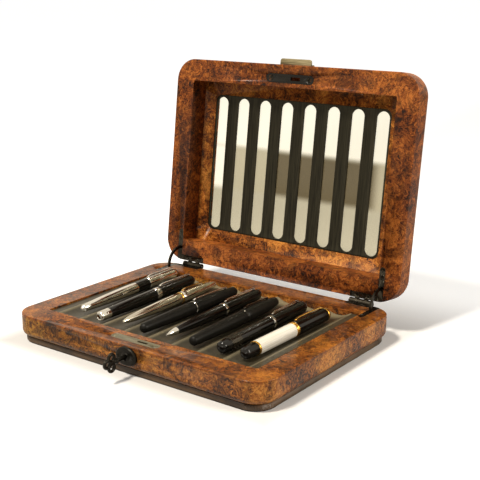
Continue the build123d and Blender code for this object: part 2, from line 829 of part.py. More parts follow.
def clip(line, tip, root, tip_radius, root_radius):
    # a spring clip along the top of a cap, from its tip back to its root
    plane, along = line
    lean = radians(clip_lean)
    upright = plane.z_dir * cos(lean) + plane.y_dir * sin(lean)
    tip, root = tip * along, root * along
    low_tip = tip_radius + clip_gap
    low_root = root_radius + clip_gap
    nub_top = (tip, low_tip + clip_nub_rise)
    nub_back = (tip + clip_nub, low_tip + clip_nub_rise)
    arm_tip = (tip + clip_bend, low_tip + clip_rise)
    arm_tip_top = (tip + clip_bend, low_tip + clip_rise + clip_thickness)
    with BuildPart() as piece:
        with BuildSketch(Plane(plane.origin, x_dir=plane.x_dir, z_dir=upright)):
            with BuildLine():
                Polyline(
                    arm_tip,
                    (root - clip_foot, low_root + clip_rise),
                    (root - clip_foot, low_root),
                    (root, low_root),
                    (root, low_root + clip_rise + clip_thickness),
                    arm_tip_top,
                )
                ThreePointArc(arm_tip_top, (tip + clip_bend / 3, low_tip + clip_rise), nub_top)
                ThreePointArc(nub_top, (tip + clip_nub / 2, low_tip), nub_back)
                Line(nub_back, arm_tip)
            make_face()
        extrude(amount=clip_width / 2, both=True)
    return piece.part


# chrome ballpoint with a dark waist
line = pen_line(
    groove_xs[0], front_gap=17.4, rear_gap=1.6, outline_length=143,
    lean=2.2, aside=1.2, drift=2.9, widest=5.8,
)
with BuildPart() as pen_1_barrel:
    add(
        turned(
            line,
            ((0, 0), (0.6, 1.8), (2.2, 2.6)),
            ((2.2, 2.6), (3, 3.5)),
            ((3, 3.5), (40, 5.0), (76, 5.6)),
        )
    )
with BuildPart() as pen_1_cap:
    add(turned(line, ((94, 5.8), (134, 5.2)), dome(134, 5.2, 143)))
with BuildPart() as pen_1_trim:
    add(turned(line, ((76, 5.4), (94, 5.6))))
    add(clip(line, tip=97, root=136, tip_radius=5.8, root_radius=5.2))

# black with a silver nose cap, broad ring and clip
line = pen_line(
    groove_xs[1], front_gap=12.2, rear_gap=10.8, outline_length=139,
    lean=1.8, aside=2.2, drift=1.8, widest=5.9,
)
with BuildPart() as pen_2_barrel:
    add(turned(line, ((12, 4.9), (45, 5.5), (77, 5.8))))
with BuildPart() as pen_2_cap:
    add(turned(line, ((83, 5.9), (132, 5.5)), dome(132, 5.5, 139)))
with BuildPart() as pen_2_trim:
    add(
        turned(
            line,
            ((0, 0), (0, 3.2)),
            ((0, 3.2), (0.4, 4.2), (1.4, 4.6)),
            ((1.4, 4.6), (12, 4.9)),
        )
    )
    add(ring(line, start=77, end=83, radius=6.0))
    add(clip(line, tip=87, root=134, tip_radius=5.9, root_radius=5.5))

# silver, drawn to a point, with gold bands and clip
line = pen_line(
    groove_xs[2], front_gap=15.7, rear_gap=9.3, outline_length=137,
    lean=1.6, aside=0.9, drift=2.4, widest=5.6,
)
with BuildPart() as pen_3_barrel:
    add(
        turned(
            line,
            ((0, 0), (0.3, 1.2), (1.6, 1.5)),
            ((1.6, 1.5), (6, 2.7), (30, 4.4), (58, 5.3), (80, 5.5)),
        )
    )
with BuildPart() as pen_3_cap:
    add(turned(line, ((82.4, 5.5), (104, 5.5), (122, 4.8), (134, 3.4)), dome(134, 3.4, 137)))
with BuildPart() as pen_3_trim:
    add(ring(line, start=80, end=82.4, radius=5.7))
    add(clip(line, tip=86, root=123, tip_radius=5.6, root_radius=4.9))

# matt black cigar with a slim silver clip
line = pen_line(
    groove_xs[3], front_gap=11.2, rear_gap=14.8, outline_length=136,
    lean=-0.4, aside=-0.4, drift=0.4, widest=6.1,
)
with BuildPart() as pen_4_barrel:
    add(turned(line, nose(0, 4, 4.6), ((4, 4.6), (36, 5.6), (70, 6.1))))
with BuildPart() as pen_4_cap:
    add(turned(line, ((70.8, 6.1), (104, 6.0), (131, 4.6)), dome(131, 4.6, 136)))
with BuildPart() as pen_4_trim:
    add(ring(line, start=70, end=70.8, radius=6.2))
    add(clip(line, tip=73, root=122, tip_radius=6.2, root_radius=5.35))

# black ballpoint with a silver cone, ring and clip
line = pen_line(
    groove_xs[4], front_gap=13.0, rear_gap=7.0, outline_length=142,
    lean=1.2, aside=0.0, drift=1.8, widest=6.0,
)
with BuildPart() as pen_5_barrel:
    add(turned(line, ((13, 3.3), (45, 4.9), (80, 5.7))))
with BuildPart() as pen_5_cap:
    add(turned(line, ((83, 5.9), (133, 5.6)), dome(133, 5.6, 142)))
with BuildPart() as pen_5_trim:
    add(turned(line, ((0, 0), (0, 0.9)), ((0, 0.9), (2.4, 1.1)), ((2.4, 1.1), (7, 2.5), (13, 3.3))))
    add(ring(line, start=80, end=83, radius=6.05))
    add(clip(line, tip=86, root=134, tip_radius=6.0, root_radius=5.6))

# matt black, tapered to the front, with a dark clip
line = pen_line(
    groove_xs[5], front_gap=12.5, rear_gap=17.5, outline_length=132,
    lean=1.6, aside=0.6, drift=2.2, widest=6.4,
)
with BuildPart() as pen_6_barrel:
    add(turned(line, nose(0, 3, 4.4), ((3, 4.4), (40, 5.7), (76, 6.4))))
with BuildPart() as pen_6_cap:
    add(turned(line, ((76.6, 6.4), (104, 6.2), (126, 4.6)), dome(126, 4.6, 132)))
with BuildPart() as pen_6_trim:
    add(ring(line, start=76, end=76.6, radius=6.3))
    add(clip(line, tip=80, root=118, tip_radius=6.5, root_radius=5.5))

# black with a patterned band near its front end
line = pen_line(
    groove_xs[6], front_gap=15.4, rear_gap=12.6, outline_length=134,
    lean=1.4, aside=1.4, drift=1.6, widest=6.3,
)
with BuildPart() as pen_7_barrel:
    add(
        turned(
            line,
            nose(0, 3.4, 5.2),
            ((3.4, 5.2), (10, 5.7)),
            ((10, 5.7), (band_start, 5.7)),
            ((band_start, 5.7), (band_start, band_core)),
            ((band_start, band_core), (band_end, band_core)),
            ((band_end, band_core), (band_end, 5.8)),
            ((band_end, 5.8), (74, 6.0)),
        )
    )
with BuildPart() as pen_7_cap:
    add(turned(line, ((77, 6.2), (125, 6.0)), dome(125, 6.0, 134)))
with BuildPart() as pen_7_trim:
    add(sleeve(line, band_start, band_end, radius=6.1, core=band_core))
    add(ring(line, start=74, end=77, radius=6.4))
    add(clip(line, tip=80, root=124, tip_radius=6.3, root_radius=6.0))

# ivory barrel between black ends, gold rings and clip
line = pen_line(
    groove_xs[7], front_gap=15.0, rear_gap=19.0, outline_length=128,
    lean=-0.7, aside=-1.8, drift=1.8, widest=6.7,
)
with BuildPart() as pen_8_knob:
    add(turned(line, nose(0, 4.4, 5.4), ((4.4, 5.4), (16, 5.8))))
with BuildPart() as pen_8_barrel:
    add(turned(line, ((18, 6.3), (70, 6.3))))
with BuildPart() as pen_8_cap:
    add(
        turned(
            line,
            ((74, 6.6), (finial_start, 6.2)),
            ((finial_start, 6.2), (finial_start, finial_core)),
            ((finial_start, finial_core), (finial_end, finial_core)),
            dome(finial_end, finial_core, 128),
        )
    )
with BuildPart() as pen_8_trim:
    add(ring(line, start=16, end=18, radius=6.3))
    add(ring(line, start=70, end=74, radius=6.75))
    add(sleeve(line, finial_start, finial_end, radius=6.3, core=finial_core))
    add(clip(line, tip=77, root=119, tip_radius=6.7, root_radius=6.3))

pen_1_barrel.part.label = "pen_1_barrel"
pen_1_cap.part.label = "pen_1_cap"
pen_1_trim.part.label = "pen_1_trim"
pen_2_barrel.part.label = "pen_2_barrel"
pen_2_cap.part.label = "pen_2_cap"
pen_2_trim.part.label = "pen_2_trim"
pen_3_barrel.part.label = "pen_3_barrel"
pen_3_cap.part.label = "pen_3_cap"
pen_3_trim.part.label = "pen_3_trim"
pen_4_barrel.part.label = "pen_4_barrel"
pen_4_cap.part.label = "pen_4_cap"
pen_4_trim.part.label = "pen_4_trim"
pen_5_barrel.part.label = "pen_5_barrel"
pen_5_cap.part.label = "pen_5_cap"
pen_5_trim.part.label = "pen_5_trim"
pen_6_barrel.part.label = "pen_6_barrel"
pen_6_cap.part.label = "pen_6_cap"
pen_6_trim.part.label = "pen_6_trim"
pen_7_barrel.part.label = "pen_7_barrel"
pen_7_cap.part.label = "pen_7_cap"
pen_7_trim.part.label = "pen_7_trim"
pen_8_knob.part.label = "pen_8_knob"
pen_8_barrel.part.label = "pen_8_barrel"
pen_8_cap.part.label = "pen_8_cap"
pen_8_trim.part.label = "pen_8_trim"

# ---- one STEP file for each sub-part ----------------------------------------------------------------
for piece in (
    baize_pad, plinth_board, compartment_floor, pen_tray, base_frame, lid_frame, lid_panel,
    slotted_plate, window_glass, hinge_pins, base_hinge_screws, lid_hinge_screws, lock_case,
    lock_face_plate, lock_screws, lock_follower, hook_bolt, strike_plate, strike_screws,
    escutcheon, escutcheon_pins, key, pull_tab, pull_screws,
    pen_1_barrel, pen_1_cap, pen_1_trim, pen_2_barrel, pen_2_cap, pen_2_trim,
    pen_3_barrel, pen_3_cap, pen_3_trim, pen_4_barrel, pen_4_cap, pen_4_trim,
    pen_5_barrel, pen_5_cap, pen_5_trim, pen_6_barrel, pen_6_cap, pen_6_trim,
    pen_7_barrel, pen_7_cap, pen_7_trim, pen_8_knob, pen_8_barrel, pen_8_cap, pen_8_trim,
):
    export_step(piece.part, f"parts/{piece.part.label}.step")
    print(piece.part.label, round(piece.part.volume, 1), piece.part.is_valid, len(piece.part.solids()))
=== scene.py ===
# %% [markdown]
# # A burl wood chest for eight pens
# A shallow base with a grooved tray, an open lid with glass behind a slotted plate, corner hinges with
# arc stays, a lock with its key, and eight pens. The first step loads the frame of the CAD model, which
# gives every size and place.

# %% Load the frame
import json
from math import cos, pi, radians, sin, sqrt

import bpy
from mathutils import Matrix, Vector


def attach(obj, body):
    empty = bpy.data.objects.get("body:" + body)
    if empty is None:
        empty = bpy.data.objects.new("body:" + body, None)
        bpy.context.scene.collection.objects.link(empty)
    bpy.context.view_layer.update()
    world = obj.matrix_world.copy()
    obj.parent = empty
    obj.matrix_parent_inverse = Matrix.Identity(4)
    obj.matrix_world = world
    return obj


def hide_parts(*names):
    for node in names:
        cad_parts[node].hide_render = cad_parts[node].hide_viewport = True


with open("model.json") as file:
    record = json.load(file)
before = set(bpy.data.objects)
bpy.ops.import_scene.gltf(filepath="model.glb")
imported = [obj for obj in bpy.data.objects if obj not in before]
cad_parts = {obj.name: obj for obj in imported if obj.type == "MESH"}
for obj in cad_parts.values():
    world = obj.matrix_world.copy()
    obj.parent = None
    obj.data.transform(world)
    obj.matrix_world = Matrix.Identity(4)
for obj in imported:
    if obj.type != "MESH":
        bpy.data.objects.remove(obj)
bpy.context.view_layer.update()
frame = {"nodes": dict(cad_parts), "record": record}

MM = 0.001  # the sizes in this file are millimetres, the scene is in metres
nodes = frame["nodes"]
print("CAD nodes:", len(nodes))

# %% [markdown]
# ## Camera
# The photograph was taken from the front right, a little above the open base. The camera is placed by
# the direction it looks from, its distance from a point in the object, and its lens.

# %% Camera
azimuth, elevation, roll = radians(36.384), radians(15.018), radians(0.194)
target, distance, lens = Vector((40.7, 0, 101.4)) * MM, 839.7 * MM, 72.27

towards = Vector((sin(azimuth) * cos(elevation), -cos(azimuth) * cos(elevation), sin(elevation)))
level_right = Vector((cos(azimuth), sin(azimuth), 0))
level_up = towards.cross(level_right)
right = cos(roll) * level_right + sin(roll) * level_up
up = towards.cross(right)
camera_data = bpy.data.cameras.new("camera")
camera_data.lens = lens
camera_data.sensor_fit = "HORIZONTAL"
camera = bpy.data.objects.new("camera", camera_data)
bpy.context.scene.collection.objects.link(camera)
turn = Matrix((right, up, towards)).transposed().to_4x4()
camera.matrix_world = Matrix.Translation(target + distance * towards) @ turn
bpy.context.scene.camera = camera
print("camera at", [round(v, 3) for v in camera.matrix_world.translation])

# %% [markdown]
# ## Node helpers
# Materials are node trees. A node is made with its inputs and settings by name, and a value that is
# itself a socket is linked.

# %% Make and link nodes


def put(slot, value):
    if isinstance(value, bpy.types.NodeSocket):
        slot.id_data.links.new(value, slot)
    else:
        slot.default_value = value


def fill(made, **settings):
    """Sets a node's inputs and properties by name, with _ for a space."""
    for key, value in settings.items():
        slot = made.inputs.get(key.replace("_", " "))
        if slot is None:
            setattr(made, key, value)
        else:
            put(slot, value)
    return made


def node(tree, kind, **settings):
    return fill(tree.nodes.new("ShaderNode" + kind), **settings)


finishes = {}


def new_material(name, **plain):
    """Keeps a new material under its name, and gives its Principled node with the inputs named."""
    finishes[name] = bpy.data.materials.new(name)
    finishes[name].use_nodes = True
    return fill(finishes[name].node_tree.nodes["Principled BSDF"], **plain)


print("node helpers ready")

# %% Sums, masks and colours


def fed(kind, slots, values, **settings):
    """A node whose numbered slots take the values, in the tree of a value that is a socket."""
    tree = next(value.id_data for value in values if isinstance(value, bpy.types.NodeSocket))
    made = node(tree, kind, **settings)
    for slot, value in zip(slots, values):
        put(made.inputs[slot], value)
    return made


def maths(operation, *values, kind="Math"):
    return fed(kind, range(len(values)), values, operation=operation).outputs[0]


def times(first, second):
    return maths("MULTIPLY", first, second)


def band(value, low, high):
    """0 below low, 1 above high, smooth between."""
    limits = {"From_Min": low, "From_Max": high}
    made = node(value.id_data, "MapRange", interpolation_type="SMOOTHSTEP", Value=value, **limits)
    return made.outputs["Result"]


def falling(value, low, high):
    """1 below low, 0 above high."""
    return maths("SUBTRACT", 1.0, band(value, low, high))


def blend_colours(factor, first, second, mode="MIX"):
    return fed("Mix", (0, 6, 7), (factor, first, second), data_type="RGBA", blend_type=mode).outputs[2]


def rgb(red, green, blue):
    """A colour as given from 0 to 255, for a colour socket."""
    def linear(part):
        part /= 255
        return part / 12.92 if part <= 0.04045 else ((part + 0.055) / 1.055) ** 2.4
    return (linear(red), linear(green), linear(blue), 1)


def places(surface):
    """X, Y and Z of a point on the object, for masks that follow its place."""
    where = node(surface.id_data, "TexCoord").outputs["Object"]
    return node(surface.id_data, "SeparateXYZ", Vector=where).outputs


print("sums, masks and colours ready")

# %% [markdown]
# ## Studio
# The chest stands on pale paper that runs back as its own backdrop. To the camera the paper glows by
# itself: hardly beside the plinth, which leaves the shadow there, more a few centimetres out, and most
# in the distance. It throws less light back up than it shows, because the photograph's shaded faces
# are deep.

# %% White paper


def primitive(kind, name, place=(0, 0, 0), scale=(1, 1, 1), **settings):
    """One of Blender's own meshes, with its place in millimetres and its scale put into the mesh."""
    bpy.ops.object.select_all(action="DESELECT")
    add = getattr(bpy.ops.mesh, f"primitive_{kind}_add")
    add(location=[part * MM for part in place], **settings)
    made = bpy.context.object
    made.name = name
    made.scale = scale
    bpy.ops.object.transform_apply()
    return made


floor_half = 30.0
floor = primitive("plane", "floor", size=2 * floor_half)
surface = new_material("paper", Roughness=0.9, Specular_IOR_Level=0.1)
floor.data.materials.append(finishes["paper"])
tree = surface.id_data
seen = node(tree, "LightPath").outputs
shown = maths("MAXIMUM", seen["Is Camera Ray"], seen["Is Transmission Ray"])
pale = maths("MAXIMUM", shown, seen["Is Glossy Ray"])
fill(surface, Base_Color=blend_colours(pale, (0.26, 0.24, 0.21, 1), (0.72, 0.715, 0.705, 1)))
print("paper", 2 * floor_half, "m wide")

# %% The paper's glow
near_glow, middle_glow, far_glow = 0.1, 0.6, 0.9
first_rise, second_rise = (0.0, 0.032), (0.05, 0.7)  # metres from the base
half_x, half_y = 0.14, 0.106  # the base
rear_reach = 5.0  # how much slower the glow rises behind it

where = places(surface)
beside = maths("SUBTRACT", maths("ABSOLUTE", where["X"]), half_x)
before = maths("SUBTRACT", times(where["Y"], -1.0), half_y)
behind = maths("DIVIDE", maths("SUBTRACT", where["Y"], half_y), rear_reach)
away = maths("MAXIMUM", maths("MAXIMUM", beside, before), behind)
first = times(band(away, *first_rise), middle_glow - near_glow)
second = times(band(away, *second_rise), far_glow - middle_glow)
level = maths("ADD", near_glow, maths("ADD", first, second))
glow = node(tree, "Emission", Strength=times(level, shown))
total = fed("AddShader", (0, 1), (surface.outputs[0], glow.outputs[0]))
fill(tree.nodes["Material Output"], Surface=total.outputs["Shader"])
print("glow:", near_glow, middle_glow, far_glow)

# %% [markdown]
# ## Light
# Warm light comes from high in front, which leaves the lid's inner top and left walls dark, a weak one
# from low in front, and one from the right that lights the lid's outer side. A pale world fills the
# rest: plain white where the camera or glass looks straight at it, and cream in gloss.

# %% Lamps
lamp_aim = Vector((0, 0, 0.08))
warm = (1, 0.92, 0.8)


def soft_lamp(name, place, size, watts):
    lamp = bpy.data.lights.new(name, "AREA")
    lamp.shape = "RECTANGLE"
    lamp.size, lamp.size_y = size
    lamp.energy = watts
    lamp.color = warm
    holder = bpy.data.objects.new(name, lamp)
    holder.location = place
    holder.rotation_euler = (lamp_aim - Vector(place)).to_track_quat("-Z", "Y").to_euler()
    bpy.context.scene.collection.objects.link(holder)


soft_lamp("lamp_above", (-0.35, -1.15, 2.05), (0.4, 0.35), 63.0)
soft_lamp("lamp_low", (0.1, -1.5, 0.25), (0.6, 0.3), 1.5)
soft_lamp("lamp_right", (1.3, 0.3, 0.7), (0.5, 0.5), 13.0)
print("lamps:", len(bpy.data.lights))

# %% World
world = bpy.data.worlds.new("white_studio")
world.use_nodes = True
bpy.context.scene.world = world
tree = world.node_tree
weak = fill(tree.nodes["Background"], Color=(1, 0.97, 0.92, 1), Strength=0.1)
path = node(tree, "LightPath").outputs
cream = blend_colours(path["Is Glossy Ray"], (1, 1, 1, 1), (1, 0.9, 0.74, 1))
white = node(tree, "Background", Strength=1.0, Color=cream)
seen_through = maths("MAXIMUM", path["Is Camera Ray"], path["Is Transmission Ray"])
direct = maths("MAXIMUM", path["Is Glossy Ray"], seen_through)
choose = fed("MixShader", (0, 1, 2), (direct, weak.outputs[0], white.outputs[0]))
fill(tree.nodes["World Output"], Surface=choose.outputs["Shader"])
bpy.context.scene.view_settings.view_transform = "Standard"
print("studio ready")

# %% [markdown]
# ## Burl figure
# Burl veneer has no straight grain. It is a cloud of curls with clusters of small dark eyes, pale
# flecks between them, and slow changes of tone. A warped noise draws the curls, a finer one the flecks,
# Voronoi cells the eyes where another noise allows them, and a slow noise shifts the tone. As a node
# group the figure serves the base and the lid, each with its own three colours.

# %% Burl group


def new_group(name, outputs, **inputs):
    """A group, its given inputs and its output node. A value's length says an input's kind."""
    group = bpy.data.node_groups.new(name, "ShaderNodeTree")
    for label, value in {"Vector": (0, 0, 0), **inputs}.items():
        kind = {1: "Float", 3: "Vector", 4: "Color"}[len(value) if isinstance(value, tuple) else 1]
        socket = group.interface.new_socket(label, in_out="INPUT", socket_type="NodeSocket" + kind)
        socket.default_value = value
    for label in outputs:
        kind = "Color" if label == "Color" else "Float"
        group.interface.new_socket(label, in_out="OUTPUT", socket_type="NodeSocket" + kind)
    return group, group.nodes.new("NodeGroupInput").outputs, group.nodes.new("NodeGroupOutput")


def noise(where, **settings):
    return node(where.id_data, "TexNoise", Vector=where, **settings).outputs


burl, given, result = new_group(
    "burl_figure", ["Color", "Figure"],
    Pale=rgb(214, 146, 74), Middle=rgb(160, 88, 34), Dark=rgb(48, 20, 7),
)
place = given["Vector"]
warp = noise(place, Scale=60.0, Detail=3.0, Roughness=0.6)["Color"]
shift = maths("SUBTRACT", warp, (0.5, 0.5, 0.5), kind="VectorMath")
reach = maths("MULTIPLY", shift, (0.016, 0.016, 0.016), kind="VectorMath")
warped = maths("ADD", place, reach, kind="VectorMath")
curls = noise(warped, Scale=190.0, Detail=6.0, Roughness=0.72, Distortion=1.1)["Fac"]
flecks = noise(warped, Scale=640.0, Detail=4.0, Roughness=0.7, Distortion=0.6)["Fac"]
clusters = noise(warped, Scale=85.0, Detail=4.0, Roughness=0.65, Distortion=0.5)["Fac"]
cells = node(burl, "TexVoronoi", Vector=warped, Scale=480.0)
slow = noise(place, Scale=26.0, Detail=2.0, Roughness=0.5)["Fac"]
print("burl textures wired")

# %% Burl tones
figure = maths("ADD", times(curls, 0.55), times(flecks, 0.45))
drift = times(maths("SUBTRACT", slow, 0.5), 0.3)
tone = maths("ADD", figure, drift)
deep = blend_colours(band(tone, 0.41, 0.487), given["Dark"], given["Middle"])
light = blend_colours(band(tone, 0.487, 0.58), deep, given["Pale"])
in_cluster = band(clusters, 0.5, 0.58)
clouded = blend_colours(times(in_cluster, 0.45), light, given["Dark"])
eyes = times(falling(cells.outputs["Distance"], 0.14, 0.4), in_cluster)
specks = times(band(flecks, 0.54, 0.63), 0.75)
eyed = blend_colours(maths("MAXIMUM", eyes, specks), clouded, given["Dark"])
fill(result, Color=eyed, Figure=tone)
print("burl group:", len(burl.nodes), "nodes")

# %% [markdown]
# ## Fine grain, brushing and handling
# Rippled lacquer, leather and cast metal take fine even noise. Brushing leaves noise that is stretched
# one way. Whatever hands touch has dull patches. Each is a small group, and the materials choose how
# far it reaches.

# %% Grain, brushing and handling groups


def noise_group(name, detail, **inputs):
    """Noise as a height, and as a value from Low to High. A small Along stretches it that way."""
    group, given, result = new_group(name, ["Value", "Height"], **inputs)
    stretched = maths("MULTIPLY", given["Vector"], given["Along"], kind="VectorMath")
    height = noise(stretched, Scale=given["Scale"], Detail=detail, Roughness=0.6)["Fac"]
    span = node(group, "MapRange", Value=height, To_Min=given["Low"], To_Max=given["High"])
    fill(result, Value=span.outputs["Result"], Height=height)
    return group


grain = noise_group("fine_grain", 5.0, Along=(1.0, 1.0, 1.0), Scale=800.0, Low=0.3, High=0.5)
brushed = noise_group("brushing", 3.0, Along=(1.0, 0.02, 1.0), Scale=1500.0, Low=0.25, High=0.5)
handled, given, result = new_group("handling", ["Dull"], Scale=90.0)
wiped = noise(given["Vector"], Scale=given["Scale"], Detail=6.0, Roughness=0.65, Distortion=0.8)
fill(result, Dull=band(wiped["Fac"], 0.5, 0.68))
print("groups:", [group.name for group in bpy.data.node_groups])

# %% Groups in a material


def placed(surface, group, turn=None, **values):
    """The outputs of a group in the surface's material, read at object coordinates."""
    where = node(surface.id_data, "TexCoord").outputs["Object"]
    if turn:
        where = node(surface.id_data, "Mapping", Vector=where, Rotation=turn).outputs["Vector"]
    return node(surface.id_data, "Group", node_tree=group, Vector=where, **values).outputs


def add_bump(surface, height, strength, distance):
    bump = node(surface.id_data, "Bump", Strength=strength, Distance=distance, Height=height)
    fill(surface, Normal=bump.outputs["Normal"])


print("groups can be placed")

# %% [markdown]
# ## Lacquered burl
# The lacquer is the Principled coat; the wood under it is rougher, duller where it was handled, and its
# figure shows as a faint relief. The sides of the base are another sheet than its redder rim: more
# golden, and nearly olive towards the left end.

# %% Burl materials


def burl_material(name, turn, pale, middle, dark, coat):
    surface = new_material(name, Coat_Weight=coat, Coat_Roughness=0.22, Specular_IOR_Level=0.18)
    wood = placed(surface, burl, turn=turn, Pale=rgb(*pale), Middle=rgb(*middle), Dark=rgb(*dark))
    ripple = placed(surface, grain, Scale=60.0, Low=0.36, High=0.5)
    touched = placed(surface, handled, Scale=70.0)
    rougher = times(touched["Dull"], 0.12)
    fill(surface, Base_Color=wood["Color"], Roughness=maths("ADD", ripple["Value"], rougher))
    add_bump(surface, wood["Figure"], 0.1, 0.0003)
    return surface, wood["Color"]


burl_material("burl_lid", (1.1, 0.2, 0.7), (192, 114, 50), (124, 62, 23), (28, 12, 5), 0.12)
burl_material("burl_panel", (0.7, 1.3, 0.1), (218, 144, 64), (152, 84, 32), (36, 15, 5), 0.12)
surface, wood_colour = burl_material(
    "burl_base", (0.3, 0.5, 0.2), (216, 146, 68), (152, 87, 34), (34, 16, 6), 0.3
)
where = places(surface)
olive = times(falling(where["X"], -0.14, 0.1), 0.9)
sides = blend_colours(olive, wood_colour, rgb(222, 236, 182), mode="MULTIPLY")
rim = blend_colours(1.0, wood_colour, rgb(214, 198, 158), mode="MULTIPLY")
rim_edge = band(where["Z"], 0.0243, 0.0258)
fill(surface, Base_Color=blend_colours(rim_edge, sides, rim))
print("burl materials ready")

# %% [markdown]
# ## The other finishes
# The fittings are satin nickel, black nickel and blackened iron, and the pens chrome, silver, gold,
# ivory and gloss or matt black. Each has its own roughness pattern, because one even roughness looks
# like plastic. The tray's dark covering has painted highlights on the ridges and the grooves' rear ends.

# %% Grained and brushed finishes
wander_from, wander_to = 0.35, 0.65  # the noise values between which a colour turns into the other


def grained(name, colour, other, scale, low, high, bump=0.0, dull=0.1, **plain):
    """A colour that wanders a little towards another, rougher where it was handled."""
    surface = new_material(name, **plain)
    speck = placed(surface, grain, Scale=scale, Low=low, High=high)
    wander = placed(surface, grain, Scale=scale / 9, Low=0.0, High=1.0)
    touched = placed(surface, handled, Scale=scale / 4)
    share = band(wander["Value"], wander_from, wander_to)
    rougher = times(touched["Dull"], dull)
    fill(
        surface, Base_Color=blend_colours(share, rgb(*colour), rgb(*other)),
        Roughness=maths("ADD", speck["Value"], rougher),
    )
    if bump:
        add_bump(surface, speck["Height"], bump, 0.0002)
    return surface


def brushed_finish(name, colour, other, turn, along, low, high, bump=0.05, metal=1.0):
    surface = new_material(name, Metallic=metal)
    lines = placed(surface, brushed, turn=turn, Along=along, Low=low, High=high)
    share = band(lines["Height"], wander_from, wander_to)
    mixed = blend_colours(share, rgb(*colour), rgb(*other))
    fill(surface, Roughness=lines["Value"], Base_Color=mixed)
    add_bump(surface, lines["Height"], bump, 0.0001)


print("finish helpers ready")

# %% Fittings
lengthwise = (0.03, 1.0, 1.0)
brushed_finish("lock_nickel", (150, 144, 120), (112, 106, 86), (0, 0, 0), lengthwise, 0.34, 0.52)
brushed_finish("pull_metal", (176, 164, 130), (120, 110, 84), (0, 0, 0), lengthwise, 0.26, 0.44)
# The plinth's dark wood is painted darker still: painted shade under the base's overhang. The compartment
# floor takes the same finish.
grained("plinth_wood", (88, 66, 44), (46, 32, 19), 300.0, 0.4, 0.6, bump=0.1)
grained("baize", (84, 72, 52), (60, 50, 36), 1800.0, 0.85, 0.95, bump=0.6, dull=0.05)
grained("hinge_metal", (70, 66, 58), (40, 37, 32), 500.0, 0.14, 0.3, Metallic=1.0)
grained("strike_metal", (26, 24, 19), (14, 13, 10), 600.0, 0.2, 0.36, Metallic=0.5)
grained("key_iron", (52, 46, 34), (22, 19, 13), 260.0, 0.22, 0.42, bump=0.2, Metallic=0.75)
print("fittings ready")

# %% Tray covering
ridge_tops, rear_highlight_span, tray_ends = (0.0238, 0.0251), (0.066, 0.078), (0.1085, 0.1095)
surface = grained("tray_cover", (60, 54, 40), (48, 44, 32), 1400.0, 0.28, 0.44, bump=0.12)
cover_colour = surface.inputs["Base Color"].links[0].from_socket
where = places(surface)
among_grooves = falling(maths("ABSOLUTE", where["X"]), *tray_ends)
# Painted highlights: the ridge tops and the rear ends of the grooves are painted paler, where light
# catches them.
ridge_highlight = times(band(where["Z"], *ridge_tops), 0.45)
rear_highlight = times(band(where["Y"], *rear_highlight_span), 0.8)
painted_highlights = times(maths("MAXIMUM", ridge_highlight, rear_highlight), among_grooves)
fill(surface, Base_Color=blend_colours(painted_highlights, cover_colour, rgb(138, 128, 100)))
print("tray covering ready")

# %% Pen finishes
grained("pen_chrome", (232, 230, 224), (214, 211, 203), 300.0, 0.04, 0.1, dull=0.05, Metallic=1.0)
grained("pen_silver", (232, 228, 214), (206, 200, 184), 260.0, 0.1, 0.2, dull=0.06, Metallic=1.0)
grained("pen_gold", (232, 184, 96), (204, 154, 66), 300.0, 0.1, 0.2, dull=0.06, Metallic=1.0)
grained("pen_gloss", (12, 11, 9), (7, 6, 5), 400.0, 0.08, 0.17, dull=0.06, Specular_IOR_Level=0.34)
grained("pen_matt", (17, 16, 12), (11, 10, 8), 900.0, 0.34, 0.48, bump=0.05, Specular_IOR_Level=0.16)
grained("pen_dark_metal", (84, 80, 72), (54, 50, 44), 500.0, 0.15, 0.28, Metallic=1.0)
brushed_finish(
    "pen_ivory", (248, 245, 235), (224, 219, 203), (0, 0, radians(0.7)), (1.0, 0.01, 1.0), 0.24, 0.36,
    bump=0.1, metal=0.0,
)
print("materials:", len(finishes))

# %% [markdown]
# ## Plate and window finishes
# The black plate is brushed up and down. The pane behind it is clear glass, faintly cream, with a soft
# haze. Its colour has painted shade: the shadowed floor behind the lid, painted in a band across the
# middle, darkest behind the fourth to the seventh slot and clear behind the first, and greyer below it.

# %% Plate and glass
lid_open = radians(97)
brushed_finish(
    "plate_black", (52, 49, 37), (30, 28, 20), (lid_open, 0, 0), (1.0, 0.02, 1.0), 0.32, 0.5, metal=0.8
)

# Painted shade in the glass: a dark band across the middle, darkest from the fourth to the seventh slot
# and clear behind the first, and greyer glass below it. Only the top keeps the glass's own faint cream.
shade_band_bottom, shade_band_top = (0.104, 0.112), (0.148, 0.156)
clear_side, dark_left, dark_right = (-0.086, -0.076), (-0.035, -0.02), (0.085, 0.098)
surface = new_material("window_glass", Transmission_Weight=1.0, IOR=1.45)
haze = placed(surface, grain, Scale=180.0, Low=0.05, High=0.12)
where = places(surface)
below_top = falling(where["Z"], *shade_band_top)
in_shade_band = times(below_top, band(where["Z"], *shade_band_bottom))
glass_shaded_below = blend_colours(below_top, rgb(240, 235, 217), rgb(176, 169, 146))
darker = times(band(where["X"], *dark_left), falling(where["X"], *dark_right))
painted_shade = blend_colours(darker, rgb(176, 167, 140), rgb(98, 87, 63))
painted_shade_or_clear = blend_colours(falling(where["X"], *clear_side), painted_shade, rgb(236, 231, 214))
glass_with_painted_shade = blend_colours(in_shade_band, glass_shaded_below, painted_shade_or_clear)
fill(surface, Roughness=haze["Value"], Base_Color=glass_with_painted_shade)
print("plate and glass ready")

# %% [markdown]
# ## Pieces carried over from the CAD model
# A CAD node is a heap of loose triangles. Where its shape is already right, a copy is merged into one
# surface, shaded smooth up to an angle, and stands in for the node.

# %% Standing in for a node
body_of = {name: body for body, names in frame["record"]["behaviour"]["bodies"].items() for name in names}
replaced = set()


